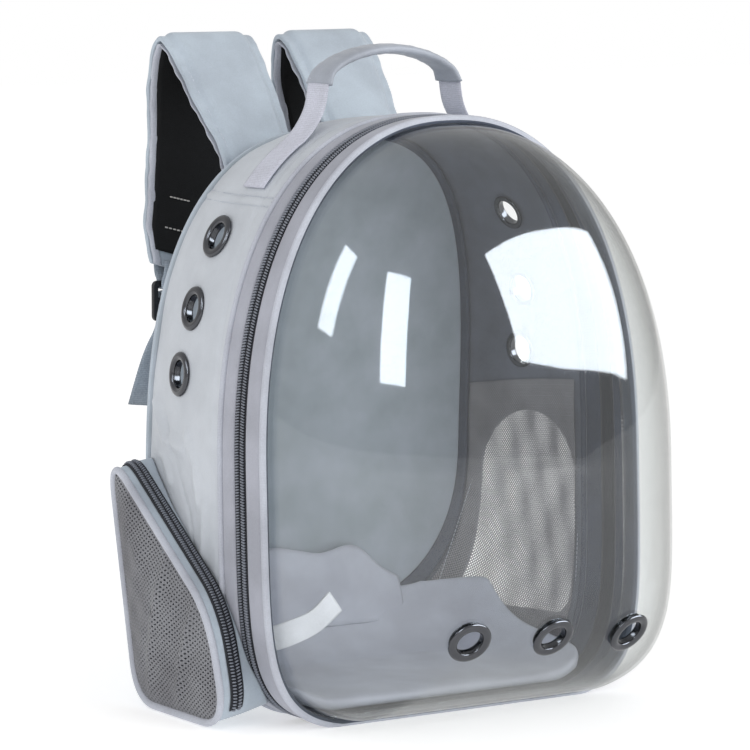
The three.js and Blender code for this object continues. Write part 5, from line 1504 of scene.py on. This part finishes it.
for piece, node, slot in (
    (front_piping, "front_piping", "piping"), (rear_piping, "rear_piping", "piping"),
    (hoop, "front_hoop", "cloth"), (tape, "zip_tape", "cloth"), (coil_tape, "zip_coil", "coil"),
    (wall, "side_wall", "cloth"), (bubble, "bubble", "clear"), (panel, "back_panel", "panel"),
    (binding, "inner_seam_binding", "lining"), (window_net, "right_window_net", "net"),
    (mat, "floor_mat", "mat"), (tether_piece, "tether_ribbon", "webbing"),
    (pocket_band, "pocket_band", "strap"), (pocket_cord, "pocket_piping", "piping"),
    (pocket_net_piece, "pocket_net", "net"), (pocket_tape, "pocket_zip", "coil"),
    (grip, "handle_grip", "strap"),
):
    belongs(piece, node)
for piece, slot in ((teeth, "coil"), (pocket_teeth, "coil"), (flap, "mat"), (seam_thread, "cloth"),
                    (window_thread, "cloth")):
    belongs(piece)
wall_up(window_net, 0.6)


def flat_size(grid):
    """Width, length and area of a sheet's grid, in metres."""
    u, v = grid_lengths(grid, 0, False)[-1] * 0.001, grid_lengths(grid, 1, False)[-1] * 0.001
    a, b, c, d = grid[:-1, :-1], grid[1:, :-1], grid[1:, 1:], grid[:-1, 1:]
    area = np.linalg.norm(np.cross(c - a, d - b), axis=-1).sum() / 2 * 1e-6
    return u, v, area


for piece, grid, held, rests in ((window_net, net_grid, "stretched", ["side_wall_cloth"]),
                                 (flap, mat_flap(), "laid", ["floor_mat_pad"]),
                                 (tether_piece, tether(), "hung", ["side_wall_cloth"])):
    u, v, area = flat_size(grid)

# Camera, lamps and floor.
AZIMUTH, ELEVATION, DISTANCE, LENS = math.radians(-35.32), math.radians(6.36), 3.0, 204.5
AIM_ACROSS, AIM_HEIGHT = -0.0601, 0.2393
back_way = Vector((math.sin(AZIMUTH) * math.cos(ELEVATION), -math.cos(AZIMUTH) * math.cos(ELEVATION),
                   math.sin(ELEVATION)))
right_way = Vector((math.cos(AZIMUTH), math.sin(AZIMUTH), 0))
camera = bpy.data.objects.new("camera", bpy.data.cameras.new("camera"))
camera.data.lens, camera.data.sensor_width = LENS, 36.0
camera.data.clip_end = 100
camera.location = right_way * AIM_ACROSS + Vector((0, 0, AIM_HEIGHT)) + back_way * DISTANCE
camera.rotation_mode = "QUATERNION"
camera.rotation_quaternion = (-back_way).to_track_quat("-Z", "Y")
scene.collection.objects.link(camera)
scene.camera = camera


def lamp(name, place, aim, size, power):
    """Soft lamp of a size in metres at a place, turned to face a point."""
    data = bpy.data.lights.new(name, "AREA")
    data.shape, data.size, data.size_y, data.energy = "RECTANGLE", size[0], size[1], power
    made = bpy.data.objects.new(name, data)
    made.location = place
    made.rotation_mode = "QUATERNION"
    made.rotation_quaternion = (Vector(place) - Vector(aim)).to_track_quat("Z", "Y")
    scene.collection.objects.link(made)
    return made


for name, place, size, power in (("key_softbox", (-2.4, -1.5, 1.5), (1.6, 1.6), 15),
                                 ("front_softbox", (0.9, -2.9, 1.3), (1.8, 1.8), 31)):
    lamp(name, place, (0, 0, 0.2), size, power).visible_glossy = False

# Bright windows that only mirror in the shell and the metal; the right one hangs tilted.
for name, place, size, power in (("window_far_left", (-2.11, 0.45, 1.54), (0.5, 1.1), 16),
                                 ("window_left", (-1.89, -1.2, 1.4), (0.6, 1.4), 26),
                                 ("window_right", (1.36, -1.18, 1.31), (2.5, 1.25), 112)):
    pane = lamp(name, place, (-0.08, -0.08, 0.29), size, power)
    pane.data.color = (0.88, 0.94, 1.0)
    pane.visible_diffuse = False
pane.rotation_quaternion = Matrix(((0.764, 0.087, 0.635), (0.699, 0.462, -0.647),
                                   (-0.113, 0.833, 0.292))).to_quaternion()

world = bpy.data.worlds.new("studio")
scene.world = world
world.use_nodes = True
sky = world.node_tree
seen = add(sky, "ShaderNodeLightPath").outputs["Is Camera Ray"]
level = add(sky, "ShaderNodeMapRange", {"To Min": 0.72, "To Max": 1.0}, {"Value": seen})
sky.links.new(level.outputs[0], sky.nodes["Background"].inputs[1])
sky.nodes["Background"].inputs[0].default_value = to_linear(0xFFFFFF)

floor_material, _, floor_shader, _ = new_material("white_light_table_acrylic")
floor_shader.inputs["Base Color"].default_value = to_linear(0xE6E6E6)
floor_shader.inputs["Roughness"].default_value = 0.9
floor_shader.inputs["Specular IOR Level"].default_value = 0.0
floor_shader.inputs["Emission Color"].default_value = to_linear(0xFFFFFF)
floor_shader.inputs["Emission Strength"].default_value = 0.45
floor_points = np.array([(x * 9000.0, y * 9000.0, -0.4) for x, y in ((-1, -1), (1, -1), (1, 1), (-1, 1))])
floor = make_mesh("floor", floor_points, [[0, 1, 2, 3]], [floor_material], smooth=False)
floor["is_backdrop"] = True
scene.view_settings.view_transform = "Standard"

low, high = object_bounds()
